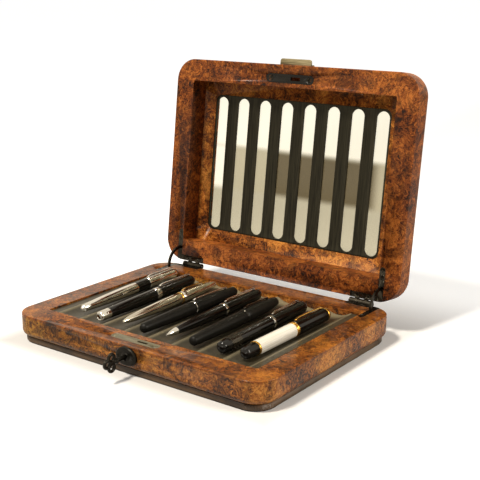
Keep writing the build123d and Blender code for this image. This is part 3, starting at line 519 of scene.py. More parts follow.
def settle(piece, node_name, finish):
    """The piece takes its finish and the node's body, and the first one stands for the node."""
    piece.data.materials.clear()
    piece.data.materials.append(finishes[finish])
    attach(piece, body_of[node_name])
    if node_name not in replaced:
        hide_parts(node_name)
        replaced.add(node_name)


def only(piece):
    bpy.ops.object.select_all(action="DESELECT")
    piece.select_set(True)
    bpy.context.view_layer.objects.active = piece


def smooth(piece, angle=32):
    only(piece)
    bpy.ops.object.shade_smooth_by_angle(angle=radians(angle))


def edit_all(kind="VERT"):
    """Edit mode with everything selected."""
    bpy.ops.object.mode_set(mode="EDIT")
    bpy.ops.mesh.select_mode(type=kind)
    bpy.ops.mesh.select_all(action="SELECT")


print("bodies:", len(set(body_of.values())))

# %% Merged copies
merge_distance = 0.002 * MM


def copy_of(piece, name):
    copy = piece.copy()
    copy.data = piece.data.copy()
    copy.name = name
    bpy.context.scene.collection.objects.link(copy)
    return copy


def merged_copy(node_name, finish):
    piece = copy_of(nodes[node_name], f"{node_name}_shell")
    piece.parent = None
    for key in list(piece.keys()):
        del piece[key]
    only(piece)
    edit_all()
    bpy.ops.mesh.remove_doubles(threshold=merge_distance)
    bpy.ops.object.mode_set(mode="OBJECT")
    smooth(piece)
    settle(piece, node_name, finish)
    return piece


carried = {
    "base_frame": "burl_base", "lid_frame": "burl_lid",
    "plinth_board": "plinth_wood", "baize_pad": "baize", "compartment_floor": "plinth_wood",
    "lock_face_plate": "lock_nickel", "lock_case": "lock_nickel", "lock_follower": "lock_nickel",
    "hook_bolt": "lock_nickel", "hinge_pins": "hinge_metal",
}
for side in ("left", "right"):
    for piece_name in ("base_hinge_leaf", "lid_hinge_leaf", "arc_stay"):
        carried[f"{piece_name}_{side}"] = "hinge_metal"
for name, finish in carried.items():
    merged_copy(name, finish)
print("pieces carried over:", len(carried))

# %% [markdown]
# ## Ways of shaping
# The new pieces start from one primitive each. These helpers pick parts of a mesh by their place, draw
# them out or resize them, apply a modifier, and carry a finished piece to its place.

# %% Shaping in edit mode


def pick(piece, test, kind="FACE"):
    """Selects, in edit mode, the faces, edges or vertices for which the test holds."""
    bpy.ops.mesh.select_mode(type=kind)
    bpy.ops.mesh.select_all(action="DESELECT")
    bpy.ops.object.mode_set(mode="OBJECT")
    parts = {"FACE": piece.data.polygons, "EDGE": piece.data.edges, "VERT": piece.data.vertices}[kind]
    for part in parts:
        part.select = test(part)
    bpy.ops.object.mode_set(mode="EDIT")


def extrude(x, y, z):
    bpy.ops.mesh.extrude_region_move(TRANSFORM_OT_translate={"value": (x * MM, y * MM, z * MM)})


def resize(x, y, z, centre=(0, 0, 0)):
    bpy.ops.transform.resize(value=(x, y, z), center_override=[part * MM for part in centre])


def outward_normals():
    bpy.ops.mesh.select_all(action="SELECT")
    bpy.ops.mesh.normals_make_consistent(inside=False)
    bpy.ops.object.mode_set(mode="OBJECT")


print("edit helpers ready")

# %% Finishing and placing
through = 20 * MM  # deeper than any piece is thick


def finish_with(piece, kind, **settings):
    only(piece)
    modifier = piece.modifiers.new(kind.lower(), kind)
    for key, value in settings.items():
        setattr(modifier, key, value)
    bpy.ops.object.modifier_apply(modifier=modifier.name)


def soften_edges(piece, width, segments=2):
    limits = {"limit_method": "ANGLE", "angle_limit": radians(40)}
    finish_with(piece, "BEVEL", width=width * MM, segments=segments, **limits)


def cut_away(piece, kind, place=(0, 0, 0), scale=(1, 1, 1), **settings):
    """Takes a block or a cylinder out of the piece."""
    cutter = primitive(kind, "cutter", place, scale, **settings)
    finish_with(piece, "BOOLEAN", object=cutter, operation="DIFFERENCE", solver="EXACT")
    bpy.data.objects.remove(cutter)


def at(x, y, z):
    return Matrix.Translation(Vector((x, y, z)) * MM)


def carry(piece, place):
    """Puts a piece where the matrix says, and leaves its object at the origin."""
    only(piece)
    piece.matrix_world = place
    bpy.ops.object.transform_apply()
    return piece


def lay(piece, place, node_name, finish, angle=32):
    smooth(piece, angle)
    settle(carry(piece, place), node_name, finish)


print("placing helpers ready")

# %% [markdown]
# ## Turned pieces
# Pens, screws and pins are round. As on a lathe, a disc is drawn out ring by ring: each station is a
# distance along the piece and a radius, and the last face is extruded to it and resized.

# %% Draw out a disc ring by ring


def turned(name, stations, sides=40):
    start, radius = stations[0]
    piece = primitive(
        "circle", name, (0, 0, start), vertices=sides, radius=radius * MM, fill_type="NGON"
    )
    edit_all("FACE")
    for (distance, radius), (next_distance, next_radius) in zip(stations, stations[1:]):
        extrude(0, 0, next_distance - distance)
        share = next_radius / radius
        resize(share, share, 1, (0, 0, next_distance))
    outward_normals()
    return piece


def rounded_end(base, radius, tip, steps=6):
    """Stations from the full radius at the base to a small flat at the tip."""
    angles = [radians(90 * i / steps) for i in range(1, steps)]
    return [(base + (tip - base) * sin(a), radius * cos(a)) for a in angles] + [(tip, radius * 0.08)]


def bowed(start, middle, end, steps=6):
    """Stations on a gentle curve from start to end that passes through the middle one."""
    (a, p), (b, q), (c, r) = start, middle, end
    slope = (q - p) / (b - a)
    bend = ((r - q) / (c - b) - slope) / (c - a)
    xs = [a + (c - a) * i / steps for i in range(steps + 1)]
    return [(x, p + slope * (x - a) + bend * (x - a) * (x - b)) for x in xs]


print("lathe ready")

# %% [markdown]
# ## Tray
# The tray is one covered board with eight shallow grooves. Its surface starts as the strip beside the
# first groove, whose right edge is extruded step by step along the grooves' profile with rounded
# ridges. The sheet is then extruded down to a board.

# %% Profile of the grooves
case_width, case_depth = 280.0, 212.0
well_width, well_depth, tray_gap = 235.2, 162.0, 0.3
tray_top, tray_bottom = 25.2, 12.2
groove_count, groove_pitch, groove_depth, ridge_width = 8, 27.0, 4.0, 1.8
half_groove = (groove_pitch - ridge_width) / 2
groove_radius = (half_groove**2 + groove_depth**2) / (2 * groove_depth)
groove_xs = [(i - (groove_count - 1) / 2) * groove_pitch for i in range(groove_count)]
ridge_round = 0.35  # how far the covering rounds a ridge off
groove_steps = 14

groove = [(-half_groove - 2 * ridge_round, 0.0), (-half_groove, -ridge_round / 2)]
for i in range(1, groove_steps):
    x = half_groove * (2 * i / groove_steps - 1)
    groove.append((x, groove_radius - groove_depth - sqrt(groove_radius**2 - x**2)))
groove += [(half_groove, -ridge_round / 2), (half_groove + 2 * ridge_round, 0.0)]
tray_side = well_width / 2 - tray_gap
profile = [(groove_x + x, z) for groove_x in groove_xs for x, z in groove] + [(tray_side, 0.0)]
print("points of the profile:", len(profile))

# %% Tray
edge_x = profile[0][0]
tray = primitive(
    "plane", "grooved_tray", ((edge_x - tray_side) / 2, 0, tray_top),
    (edge_x + tray_side, well_depth - 2 * tray_gap, 1), size=MM,
)
points = tray.data.vertices
edit_all()
pick(tray, lambda edge: all(abs(points[i].co.x - edge_x * MM) < 1e-6 for i in edge.vertices), "EDGE")
for here, there in zip(profile, profile[1:]):
    extrude(there[0] - here[0], 0, there[1] - here[1])
edit_all("FACE")
extrude(0, 0, tray_bottom - tray_top)
resize(1, 1, 0, (0, 0, tray_bottom))
outward_normals()
smooth(tray, 30)
settle(tray, "pen_tray", "tray_cover")
print("tray faces:", len(tray.data.polygons))

# %% [markdown]
# ## Lid panel and strike plate
# What sits in the lid is shaped as if the lid were shut, then swung open about the hinge pins. The
# panel's skin that holds the glass would hide the ends of the slots: the inner opening of its copy is
# picked and resized. The strike plate is smaller than the photograph shows: its copy grows from its
# slot, so the slot stays over the hook, and stands a hair proud of the rim.

# %% The lid's swing
front_face = -case_depth / 2
hinge_line = Vector((0, case_depth / 2 + 3.6, 27.2)) * MM
to_hinge = Matrix.Translation(hinge_line)
lid_swing = to_hinge @ Matrix.Rotation(-lid_open, 4, "X") @ to_hinge.inverted()
lid_shut = lid_swing.inverted()
window_width, window_length, window_corner = case_width - 2 * 36.5, case_depth - 2 * 34.6, 7.0
print("window", window_width, "by", window_length)

# %% Lid panel with a narrower lip
cad_lip, lip, inside = 4.0, 1.7, 0.2
panel = carry(merged_copy("lid_panel", "burl_panel"), lid_shut)
inner_x = (window_width / 2 - cad_lip + inside) * MM
inner_y = (window_length / 2 - cad_lip + inside) * MM
edit_all()
pick(panel, lambda vertex: abs(vertex.co.x) < inner_x and abs(vertex.co.y) < inner_y, "VERT")
wider = (window_width / 2 - lip) / (window_width / 2 - cad_lip)
longer = (window_length / 2 - lip) / (window_length / 2 - cad_lip)
resize(wider, longer, 1)
bpy.ops.object.mode_set(mode="OBJECT")
smooth(carry(panel, lid_swing))
print("lip round the glass:", lip, "mm")

# %% Strike plate
strike_x, strike_slot_x, strike_growth, strike_proud = 1.8, 7.0, 1.18, 0.15
lock_y, lid_bottom = front_face + 13.4, 27.4
strike = carry(merged_copy("strike_plate", "strike_metal"), lid_shut)
edit_all()
resize(strike_growth, strike_growth, 1, (strike_slot_x, lock_y, lid_bottom))
bpy.ops.transform.translate(value=(0, 0, -strike_proud * MM))
bpy.ops.object.mode_set(mode="OBJECT")
smooth(carry(strike, lid_swing))
print("strike plate:", [round(1000 * size, 1) for size in strike.dimensions], "mm")

# %% [markdown]
# ## Slotted plate and window pane
# The plate's outline is a plane with rounded corners. Each slot is a circle pulled long. Filling
# between them gives a flat plate with eight openings, which is extruded and bevelled: the thin bright
# line round every slot is that bevel.

# %% Window outline
panel_level, mask_step, mask_thickness, glass_thickness, fit = 49.1, 0.5, 1.6, 2.0, 0.05


def window_outline(name, height):
    """A plane with the window's rounded corners, in edit mode."""
    size = (window_width - 2 * fit, window_length - 2 * fit, 1)
    piece = primitive("plane", name, (0, 0, height), size, size=MM)
    edit_all()
    bpy.ops.mesh.bevel(offset=(window_corner - fit) * MM, segments=8, affect="VERTICES")
    return piece


print("outline ready")

# %% Slotted plate
slot_width, slot_end, slot_bevel = 14.0, 2.2, 0.35
slot_reach = window_length / 2 - slot_end - slot_width / 2
plate_level = panel_level + mask_step
plate = window_outline("slotted_plate_dressed", plate_level)
bpy.ops.mesh.select_all(action="SELECT")
bpy.ops.mesh.delete(type="ONLY_FACE")
for groove_x in groove_xs:
    bpy.ops.mesh.select_all(action="DESELECT")
    bpy.ops.mesh.primitive_circle_add(
        vertices=32, radius=slot_width / 2 * MM, location=(groove_x * MM, 0, plate_level * MM)
    )
    low_x, high_x = (groove_x - slot_width) * MM, (groove_x + slot_width) * MM
    for way in (-1, 1):
        pick(plate, lambda v: low_x < v.co.x < high_x and 1e-6 < way * v.co.y < slot_width * MM, "VERT")
        bpy.ops.transform.translate(value=(0, way * slot_reach * MM, 0))
edit_all("EDGE")
bpy.ops.mesh.fill(use_beauty=True)
bpy.ops.mesh.select_all(action="SELECT")
bpy.ops.mesh.dissolve_limited(angle_limit=radians(1))
bpy.ops.mesh.select_all(action="SELECT")
extrude(0, 0, mask_thickness)
outward_normals()
soften_edges(plate, slot_bevel)
lay(plate, lid_swing, "slotted_plate", "plate_black")
print("plate faces:", len(plate.data.polygons))

# %% Window pane
pane = window_outline("window_pane", plate_level + mask_thickness)
edit_all("FACE")
extrude(0, 0, glass_thickness)
outward_normals()
lay(pane, lid_swing, "window_glass", "window_glass")
print("pane", glass_thickness, "mm thick")

# %% [markdown]
# ## Screws and pins
# Every screw is countersunk. One of each kind is turned, its slot is cut with a small block, and
# copies go to all its places. The escutcheon's two pins have domed heads and no slot.

# %% One slotted screw and its copies
slot_share, slot_depth_share = 0.24, 0.3  # slot's width and depth, of the head's radius
head_edge = 0.12


def slotted_screw(name, shank, head, length, turn):
    stations = [(-length, shank), (shank - head, shank), (-head_edge, head), (0, head - head_edge)]
    screw = turned(name, stations, sides=24)
    slot = (3 * head, slot_share * head, 2 * slot_depth_share * head)
    cut_away(screw, "cube", scale=slot, size=MM, rotation=(0, 0, radians(turn)))
    smooth(screw)
    return screw


def copies_at(first, places, finish):
    """The first piece and copies with their own meshes; the node's name is its own with an s."""
    copies = [copy_of(first, f"{first.name}_{number}") for number in range(2, len(places) + 1)]
    for piece, place in zip([first, *copies], places):
        settle(carry(piece, place), first.name + "s", finish)


print("screw helpers ready")

# %% Hinge screws
leaf_middle, rim_top = 121.15, 27.0
leg_screws, rear_screws = (22.0, 29.0), (97.0, 109.0)  # from the back face, and from the middle
rear_leg_middle = case_depth / 2 - 2.8
screw_spots = [(side * leaf_middle, case_depth / 2 - reach) for side in (-1, 1) for reach in leg_screws]
screw_spots += [(side * reach, rear_leg_middle) for side in (-1, 1) for reach in rear_screws]
face_down = Matrix.Rotation(pi, 4, "X")

screw = slotted_screw("base_hinge_screw", 0.8, 1.5, 7.0, turn=25)
copies_at(screw, [at(x, y, rim_top) for x, y in screw_spots], "hinge_metal")
screw = slotted_screw("lid_hinge_screw", 0.8, 1.5, 7.0, turn=70)
lid_places = [lid_swing @ at(x, y, lid_bottom) @ face_down for x, y in screw_spots]
copies_at(screw, lid_places, "hinge_metal")
print("hinge screws:", 2 * len(screw_spots))

# %% Lock, strike and pull screws
lock_screw_x, strike_screw_x, pull_screw_x = 22.5, 18.5, 11.0  # from the middle of their pieces
pull_bottom, pull_lip, pull_foot, foot_thickness = lid_bottom + 9.4, 1.8, 6.4, 1.4
pull_screw_z = pull_bottom + (pull_lip + pull_foot) / 2
facing_front = Matrix.Rotation(pi / 2, 4, "X")

screw = slotted_screw("lock_screw", 1.2, 2.2, 9.0, turn=35)
lock_places = [at(way * lock_screw_x, lock_y, rim_top) for way in (-1, 1)]
copies_at(screw, lock_places, "lock_nickel")

screw = slotted_screw("strike_screw", 1.2, 2.4, 9.0, turn=50)
grown_middle = strike_slot_x + strike_growth * (strike_x - strike_slot_x)
strike_screw_xs = [grown_middle + way * strike_growth * strike_screw_x for way in (-1, 1)]
strike_level = lid_bottom - strike_proud
strike_places = [lid_swing @ at(x, lock_y, strike_level) @ face_down for x in strike_screw_xs]
copies_at(screw, strike_places, "hinge_metal")

screw = slotted_screw("pull_screw", 1.0, 1.9, 8.0, turn=15)
pull_spots = [at(way * pull_screw_x, front_face - foot_thickness, pull_screw_z) for way in (-1, 1)]
copies_at(screw, [lid_swing @ spot @ facing_front for spot in pull_spots], "pull_metal")
print("other screws: 6")

# %% [markdown]
# ## Escutcheon, pins and key
# The lock's cover is an oval cushion of blackened iron, nailed on with two domed pins. It is a disc
# drawn out in rounding steps, with a sunk ring round the middle, and squashed to the oval. The keyhole
# and the holes of the pins are cut.

# %% Escutcheon
key_x, key_z, pin_x = 2.5, 18.0, 8.5
half_width, half_height, cover_thickness, cover_round = 11.5, 8.3, 2.6, 1.8
shank_radius, key_slack, bit_drop, bit_width = 1.8, 0.3, 3.3, 1.3
sunk_ring = [(cover_thickness, 6.0), (2.25, 5.5), (2.25, 4.6), (cover_thickness, 4.1)]
rounding = [
    (cover_thickness - cover_round * (1 - sin(a)), half_width - cover_round * (1 - cos(a)))
    for a in (radians(22), radians(45), radians(68), radians(90))
]
cover_steps = [(0, half_width), (cover_thickness - cover_round, half_width)] + rounding + sunk_ring
escutcheon = turned("escutcheon_dressed", cover_steps, sides=64)
escutcheon.scale = (1, half_height / half_width, 1)
bpy.ops.object.transform_apply()

cut_away(escutcheon, "cylinder", vertices=32, radius=(shank_radius + key_slack) * MM, depth=through)
bit_slot = (bit_width + 2 * key_slack, bit_drop + key_slack, through / MM)
cut_away(escutcheon, "cube", (0, -(bit_drop + key_slack) / 2, 0), bit_slot, size=MM)
for way in (-1, 1):
    cut_away(escutcheon, "cylinder", (way * pin_x, 0, 0), vertices=24, radius=0.75 * MM, depth=through)
key_place = at(key_x, front_face, key_z) @ facing_front
lay(escutcheon, key_place, "escutcheon", "key_iron", angle=40)
print("escutcheon faces:", len(escutcheon.data.polygons))

# %% Escutcheon pins
pin_stations = [(-6.0, 0.7), (0, 0.7), (0, 1.3), (0.25, 1.25), (0.45, 1.08), (0.6, 0.78), (0.68, 0.4)]
pin = turned("escutcheon_pin", pin_stations, sides=24)
smooth(pin, 60)
pin_places = [key_place @ at(way * pin_x, 0, cover_thickness) for way in (-1, 1)]
copies_at(pin, pin_places, "key_iron")
print("escutcheon pins: 2")

# %% [markdown]
# ## Key
# The key has a turned shank with a collar, a small bit, and a bow of three overlapping rings as a
# trefoil. They are remeshed together, which runs the metal together where they meet, as in a casting.

# %% Key
case_thickness, bit_length = 8.6, 4.6
case_front = lock_y - case_thickness / 2
bit_end = front_face - (case_front + key_slack + bit_length)  # along the key, from the front face outwards
bow_ring, bow_wire, bow_spread, bow_reach, bow_forward = 3.1, 1.5, 4.3, 18.6, 4.9
key = turned("key_dressed", [
    (bit_end, shank_radius), (11.6, shank_radius), (12.0, 2.3), (12.4, 2.85), (13.0, 2.85), (13.4, 2.4),
    (13.8, 2.6), (14.0, 2.2), (bow_reach - bow_ring, 1.4), (bow_reach - 1.5, 1.3),
    (bow_reach + bow_forward - 4.4, 1.25),
])
edit_all()
for height, reach in ((bow_spread, bow_reach), (-bow_spread, bow_reach), (0, bow_reach + bow_forward)):
    bpy.ops.mesh.select_all(action="DESELECT")
    bpy.ops.mesh.primitive_torus_add(
        major_radius=bow_ring * MM, minor_radius=bow_wire * MM, major_segments=40, minor_segments=16,
        location=(0, height * MM, reach * MM), rotation=(0, pi / 2, 0),
    )
bit_middle = (0, -bit_drop / 2, bit_end + bit_length / 2)
bpy.ops.mesh.select_all(action="DESELECT")
bpy.ops.mesh.primitive_cube_add(size=MM, location=Vector(bit_middle) * MM)
resize(bit_width, bit_drop, bit_length, bit_middle)
outward_normals()
finish_with(key, "REMESH", mode="VOXEL", voxel_size=0.22 * MM)
finish_with(key, "SMOOTH", factor=0.5, iterations=2)
lay(key, key_place, "key", "key_iron", angle=60)
print("key faces:", len(key.data.polygons))

# %% [markdown]
# ## Pull on the lid
# The pull is a bent tab: a foot screwed to the lid's front edge and a lip to put a finger under. The
# foot is a block, its lower front face is extruded for the lip, and the lip's corners are rounded.

# %% Pull tab
pull_width, pull_reach, lip_corner, pull_hole = 36.0, 6.2, 2.5, 1.95
lip_top, lip_y = (pull_bottom + pull_lip) * MM, (front_face - pull_reach) * MM
pull = primitive(
    "cube", "pull_tab_dressed", (0, front_face - foot_thickness / 2, pull_bottom + pull_foot / 2),
    (pull_width, foot_thickness, pull_foot), size=MM,
)
edit_all()
bpy.ops.mesh.bisect(plane_co=(0, 0, lip_top), plane_no=(0, 0, 1))
pick(pull, lambda face: face.normal.y < -0.9 and face.center.z < lip_top)
extrude(0, foot_thickness - pull_reach, 0)
points = pull.data.vertices


def upright_at_lip(edge):
    first, second = (points[i].co for i in edge.vertices)
    return abs(first.y - lip_y) < 1e-6 and abs(second.y - lip_y) < 1e-6 and abs(first.x - second.x) < 1e-6


pick(pull, upright_at_lip, "EDGE")
bpy.ops.mesh.bevel(offset=lip_corner * MM, segments=6)
outward_normals()
for way in (-1, 1):
    cut_away(
        pull, "cylinder", (way * pull_screw_x, front_face, pull_screw_z), vertices=24,
        radius=pull_hole * MM, depth=4 * MM, rotation=(pi / 2, 0, 0),
    )
soften_edges(pull, 0.25)
lay(pull, lid_swing, "pull_tab", "pull_metal")
print("pull faces:", len(pull.data.polygons))

# %% [markdown]
# ## Pens
# Eight different pens lie in the grooves. Each is turned in a real one's pieces: a barrel, a cap and
# bands. They are modelled along Z and laid on the pen's own line, which starts at its front end, leans
# a little to one side, and rests on the groove.

# %% The line of a pen
rest_gap = 0.3


def pen_line(number, front_y, lean, aside, drift, widest):
    """Where a pen lies: X to the left, Y up and Z along the pen from its front end."""
    reach = groove_radius - rest_gap - widest
    height = tray_top - groove_depth + groove_radius - sqrt(reach**2 - drift**2)
    turn = radians(lean)
    basis = Matrix(((-cos(turn), -sin(turn), 0), (0, 0, 1), (-sin(turn), cos(turn), 0))).transposed()
    return at(groove_xs[number - 1] + aside, front_y, height) @ basis.to_4x4()


def lay_turned(number, line, *rows, sides=40, angle=35):
    """Turns and lays a pen's pieces, each a row of its name, its finish and its stations."""
    for name, finish, stations in rows:
        word = {"body": "barrel", "top": "cap", "end": "knob"}.get(name, "trim")
        piece = turned(f"pen_{number}_{name}", stations, sides)
        lay(piece, line, f"pen_{number}_{word}", finish, angle)


def crowned(start, end, radius, edge=0.15):
    """Stations of a slightly crowned band with softened edges."""
    third = (end - start) / 3
    return [(start, radius - edge - 0.1), (start + 0.1, radius - edge), (start + third, radius),
            (end - third, radius), (end - 0.1, radius - edge), (end, radius - edge - 0.1)]


print("grooves at", groove_xs)

# %% [markdown]
# ## Clips
# A clip is a strip of spring metal: a root on the cap, an arm that runs forward above it, and a tip
# that bends down and touches. Its cross section is drawn out from the root station by station, and
# bevelled. All clips lean a little to the left, because the pens have rolled that way.

# %% Draw out a clip
clip_lean = Matrix.Rotation(-radians(14), 4, "Z")
clip_gap, clip_bevel = 0.04, 0.34


def lay_clip(number, line, finish, tip, root, tip_radius, root_radius, width=2.4, arch=0.0):
    """Stations run from the root to the tip: distance, underside, thickness and share of the width."""
    low_root, low_tip = root_radius + clip_gap, tip_radius + clip_gap
    stations = [
        (root, low_root, 1.8, 1), (root - 2.2, low_root, 1.9, 1), (root - 2.6, low_root + 0.9, 1.0, 1),
        (root - 8, low_root + 1 + arch * 0.6, 0.85, 1),
        ((tip + root) / 2, (low_root + low_tip) / 2 + 1 + arch, 0.8, 0.94),
        (tip + 6, low_tip + 1 + arch * 0.3, 0.8, 0.86), (tip + 3, low_tip + 0.6, 0.8, 0.84),
        (tip + 1.6, low_tip + 0.12, 0.9, 1), (tip + 0.7, low_tip + 0.05, 0.7, 0.9),
        (tip, low_tip + 0.3, 0.3, 0.5),
    ]
    sections = [(along, low + thick / 2, thick, width * share) for along, low, thick, share in stations]
    along, middle, thick, wide = sections[0]
    piece = primitive("plane", f"pen_{number}_clip", (0, middle, along), (wide, thick, 1), size=MM)
    edit_all("FACE")
    for next_along, next_middle, next_thick, next_wide in sections[1:]:
        extrude(0, next_middle - middle, next_along - along)
        resize(next_wide / wide, next_thick / thick, 1, (0, next_middle, next_along))
        along, middle, thick, wide = next_along, next_middle, next_thick, next_wide
    outward_normals()
    soften_edges(piece, clip_bevel, segments=4)
    lay(carry(piece, clip_lean), line, f"pen_{number}_trim", finish, angle=35)
    print("pen", number, "laid in its groove")


print("clips can be laid")

# %% [markdown]
# ## The first three pens
# A chrome ballpoint with a dark waist and engraved rings in its cap; a black pen with a silver nose
# cap, ring and clip; and a silver one drawn to a fine point, with a gold ring and an arched gold clip.

# %% Chrome ballpoint
line = pen_line(1, -63.6, 2.2, 1.2, 2.9, 5.8)
cap_stations = [(94, 5.6), (94.2, 5.8)]
for ring in (110, 112, 114):
    radius = 5.8 - 0.6 * (ring - 94) / 40
    cap_stations += [
        (ring, radius), (ring + 0.15, radius - 0.18), (ring + 0.4, radius - 0.18), (ring + 0.55, radius)
    ]
lay_turned(
    1, line,
    ("body", "pen_chrome", [(0, 0.6), (0.3, 1.2), (0.9, 1.9), (2.2, 2.6), (2.6, 3.2)]
     + bowed((3, 3.5), (40, 5.0), (75.7, 5.55), 10) + [(76, 5.4)]),
    ("top", "pen_chrome", cap_stations + [(134, 5.2)] + rounded_end(134, 5.2, 143)),
    ("waist", "pen_gloss", [
        (76.02, 5.3), (76.1, 5.4), (84.4, 5.5), (84.5, 5.3), (85.3, 5.3), (85.4, 5.5), (93.9, 5.6),
        (93.98, 5.5),
    ]),
)
lay_clip(1, line, "pen_chrome", 97, 136, 5.8, 5.2)

# %% Black with a silver nose cap
line = pen_line(2, -68.8, 1.8, 2.2, 1.8, 5.9)
lay_turned(
    2, line,
    ("body", "pen_gloss",
     [(12.02, 4.75), (12.2, 4.88)] + bowed((12.4, 4.9), (45, 5.5), (76.7, 5.8)) + [(76.98, 5.6)]),
    ("top", "pen_gloss", [(83.02, 5.7), (83.3, 5.9), (132, 5.5)] + rounded_end(132, 5.5, 139)),
    ("nose", "pen_chrome", [
        (0.4, 2.2), (0.2, 2.9), (0, 3.1), (0.15, 3.7), (0.6, 4.3), (1.4, 4.6), (7.0, 4.76), (7.1, 4.6),
        (7.6, 4.6), (7.7, 4.78), (11.8, 4.9), (12, 4.75),
    ]),
    ("ring", "pen_chrome", crowned(77, 83, 6.0)),
)
lay_clip(2, line, "pen_chrome", 87, 134, 5.9, 5.5)

# %% Silver, drawn to a point
line = pen_line(3, -65.3, 1.6, 0.9, 2.4, 5.6)
lay_turned(
    3, line,
    ("body", "pen_silver", [
        (0, 0.5), (0.25, 1.0), (0.9, 1.35), (1.6, 1.5), (3.5, 2.05), (6, 2.65), (12, 3.35), (20, 3.92),
        (30, 4.38), (44, 4.93), (58, 5.28), (70, 5.42), (79.8, 5.5), (79.98, 5.4),
    ]),
    ("top", "pen_silver", [
        (82.42, 5.4), (82.6, 5.5), (94, 5.52), (104, 5.46), (114, 5.18), (122, 4.78), (129, 4.1),
        (134, 3.38),
    ] + rounded_end(134, 3.38, 137)),
    ("ring", "pen_gold", crowned(80, 82.4, 5.7)),
)
lay_clip(3, line, "pen_gold", 86, 123, 5.6, 4.9, width=2.2, arch=0.5)

# %% [markdown]
# ## The matt and gloss black pens
# The fourth and the sixth are matt black cigars, one with a slim silver clip and one tapered to the
# front with a dark clip. The fifth is a black ballpoint with a silver cone.

# %% Matt cigar with a slim clip
line = pen_line(4, -69.8, -0.4, -0.4, 0.4, 6.1)
lay_turned(
    4, line,
    ("body", "pen_matt",
     rounded_end(4, 4.6, 0)[::-1] + bowed((4, 4.6), (36, 5.6), (69.8, 6.08), 8) + [(69.98, 5.95)]),
    ("top", "pen_matt",
     [(70.82, 5.95)] + bowed((71, 6.1), (104, 6.0), (131, 4.6), 9) + rounded_end(131, 4.6, 136)),
    ("ring", "pen_chrome", [(70, 6.0), (70.2, 6.18), (70.6, 6.18), (70.8, 6.0)]),
)
lay_clip(4, line, "pen_chrome", 73, 122, 6.2, 5.35, width=2.0)

# %% Ballpoint with a silver cone
line = pen_line(5, -68.0, 1.2, 0.0, 1.8, 6.0)
lay_turned(
    5, line,
    ("body", "pen_gloss",
     [(13.02, 3.15)] + bowed((13.2, 3.3), (45, 4.9), (79.8, 5.7), 8) + [(79.98, 5.5)]),
    ("top", "pen_gloss", [(83.02, 5.7), (83.3, 5.9), (133, 5.6)] + rounded_end(133, 5.6, 142)),
    ("cone", "pen_chrome", [
        (0, 0.5), (0.1, 0.85), (2.4, 1.08), (2.5, 1.2), (4.6, 1.9), (7, 2.48), (10, 2.95), (12.8, 3.28),
        (13, 3.15),
    ]),
    ("ring", "pen_chrome", crowned(80, 83, 6.05)),
)
lay_clip(5, line, "pen_chrome", 86, 134, 6.0, 5.6)

# %% Matt, tapered to the front
line = pen_line(6, -68.5, 1.6, 0.6, 2.2, 6.4)
lay_turned(
    6, line,
    ("body", "pen_matt",
     rounded_end(3, 4.4, 0)[::-1] + bowed((3, 4.4), (40, 5.7), (75.8, 6.38), 8) + [(75.98, 6.2)]),
    ("top", "pen_matt",
     [(76.62, 6.2)] + bowed((76.9, 6.4), (104, 6.2), (126, 4.6), 9) + rounded_end(126, 4.6, 132)),
    ("ring", "pen_dark_metal", [(76, 6.15), (76.15, 6.3), (76.45, 6.3), (76.6, 6.15)]),
)
lay_clip(6, line, "pen_dark_metal", 80, 118, 6.5, 5.5, width=2.2)

# %% [markdown]
# ## The last two pens
# The seventh is gloss black with a checked band near its front: every second face of six rows is inset
# and pushed in. The eighth has an ivory barrel between black ends, gold rings and an arched gold clip;
# the facets of its ends come from few sides and flat shading.

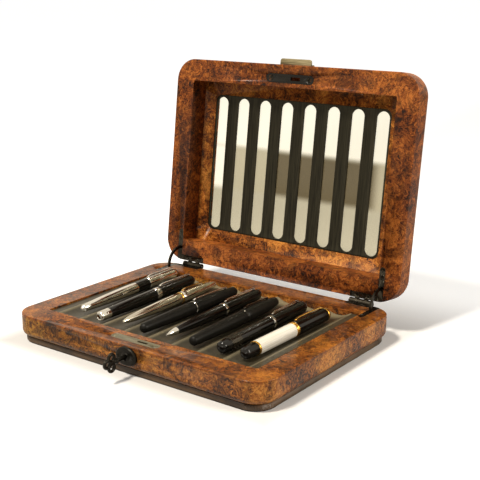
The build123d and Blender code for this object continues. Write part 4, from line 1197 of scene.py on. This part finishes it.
# %% Black with a silver band
line = pen_line(7, -65.6, 1.4, 1.4, 1.6, 6.3)
lay_turned(
    7, line,
    ("body", "pen_gloss", rounded_end(3.4, 5.2, 0)[::-1] + [
        (3.4, 5.2), (10, 5.7), (10.9, 5.72), (10.95, 5.3), (25.05, 5.3), (25.1, 5.8), (73.8, 6.0),
        (73.98, 5.8),
    ]),
    ("top", "pen_gloss", [(77.02, 6.0), (77.3, 6.2), (125, 6.0)] + rounded_end(125, 6.0, 134)),
)
band_start, band_end, band_core, band_radius, band_edge = 11.0, 25.0, 5.32, 6.1, 0.15
rows, columns = 6, 24
check_start, check_end = band_start + 1, band_end - 1
row_height = (check_end - check_start) / rows
checked = turned("pen_7_band", [
    (band_start + 0.05, band_core), (band_start + 0.1, band_radius - band_edge),
    (band_start + 0.4, band_radius),
    *((check_start + row_height * i, band_radius - 0.05) for i in range(rows + 1)),
    (band_end - 0.4, band_radius), (band_end - 0.1, band_radius - band_edge),
    (band_end - 0.05, band_core),
], sides=columns)
print("band faces:", len(checked.data.polygons))

# %% Check on the band
check_inset, check_depth = 0.12, 0.2


def every_second(face):
    row = (face.center.z / MM - check_start) / row_height
    if not 0 < row < rows:
        return False
    angle = face.center.to_2d().angle_signed(Vector((1, 0)))
    return (int(row) + round(angle / (2 * pi / columns) - 0.5)) % 2 == 0


edit_all()
pick(checked, every_second)
bpy.ops.mesh.inset(thickness=check_inset * MM, depth=-check_depth * MM, use_individual=True)
bpy.ops.object.mode_set(mode="OBJECT")
lay(checked, line, "pen_7_trim", "pen_dark_metal", angle=20)
lay_turned(7, line, ("ring", "pen_chrome", crowned(74, 77, 6.4)))
lay_clip(7, line, "pen_chrome", 80, 124, 6.3, 6.0)

# %% Ivory between black ends
line = pen_line(8, -66.0, -0.7, -1.8, 1.8, 6.7)
lay_turned(
    8, line,
    ("end", "pen_gloss",
     rounded_end(4.4, 5.4, 0, steps=4)[::-1] + [(4.4, 5.4), (15.9, 5.8), (15.98, 5.6)]),
    ("top", "pen_gloss",
     [(74.02, 6.3), (74.3, 6.6), (120.9, 6.2), (121, 5.55), (123.4, 5.55)]
     + rounded_end(123.4, 5.5, 128, steps=4)),
    sides=16, angle=12,
)
lay_turned(
    8, line,
    ("body", "pen_ivory", [(18.02, 6.1), (18.2, 6.3), (69.8, 6.3), (69.98, 6.1)]),
    ("ring_front", "pen_gold", crowned(16, 18, 6.3)),
    ("ring_middle", "pen_gold", crowned(70, 71.8, 6.7)),
    ("ring_rear", "pen_gold", crowned(72.0, 74, 6.75)),
    ("ring_end", "pen_gold", crowned(121.05, 123.35, 6.3)),
)
lay_clip(8, line, "pen_gold", 77, 119, 6.7, 6.3, width=2.2, arch=0.5)
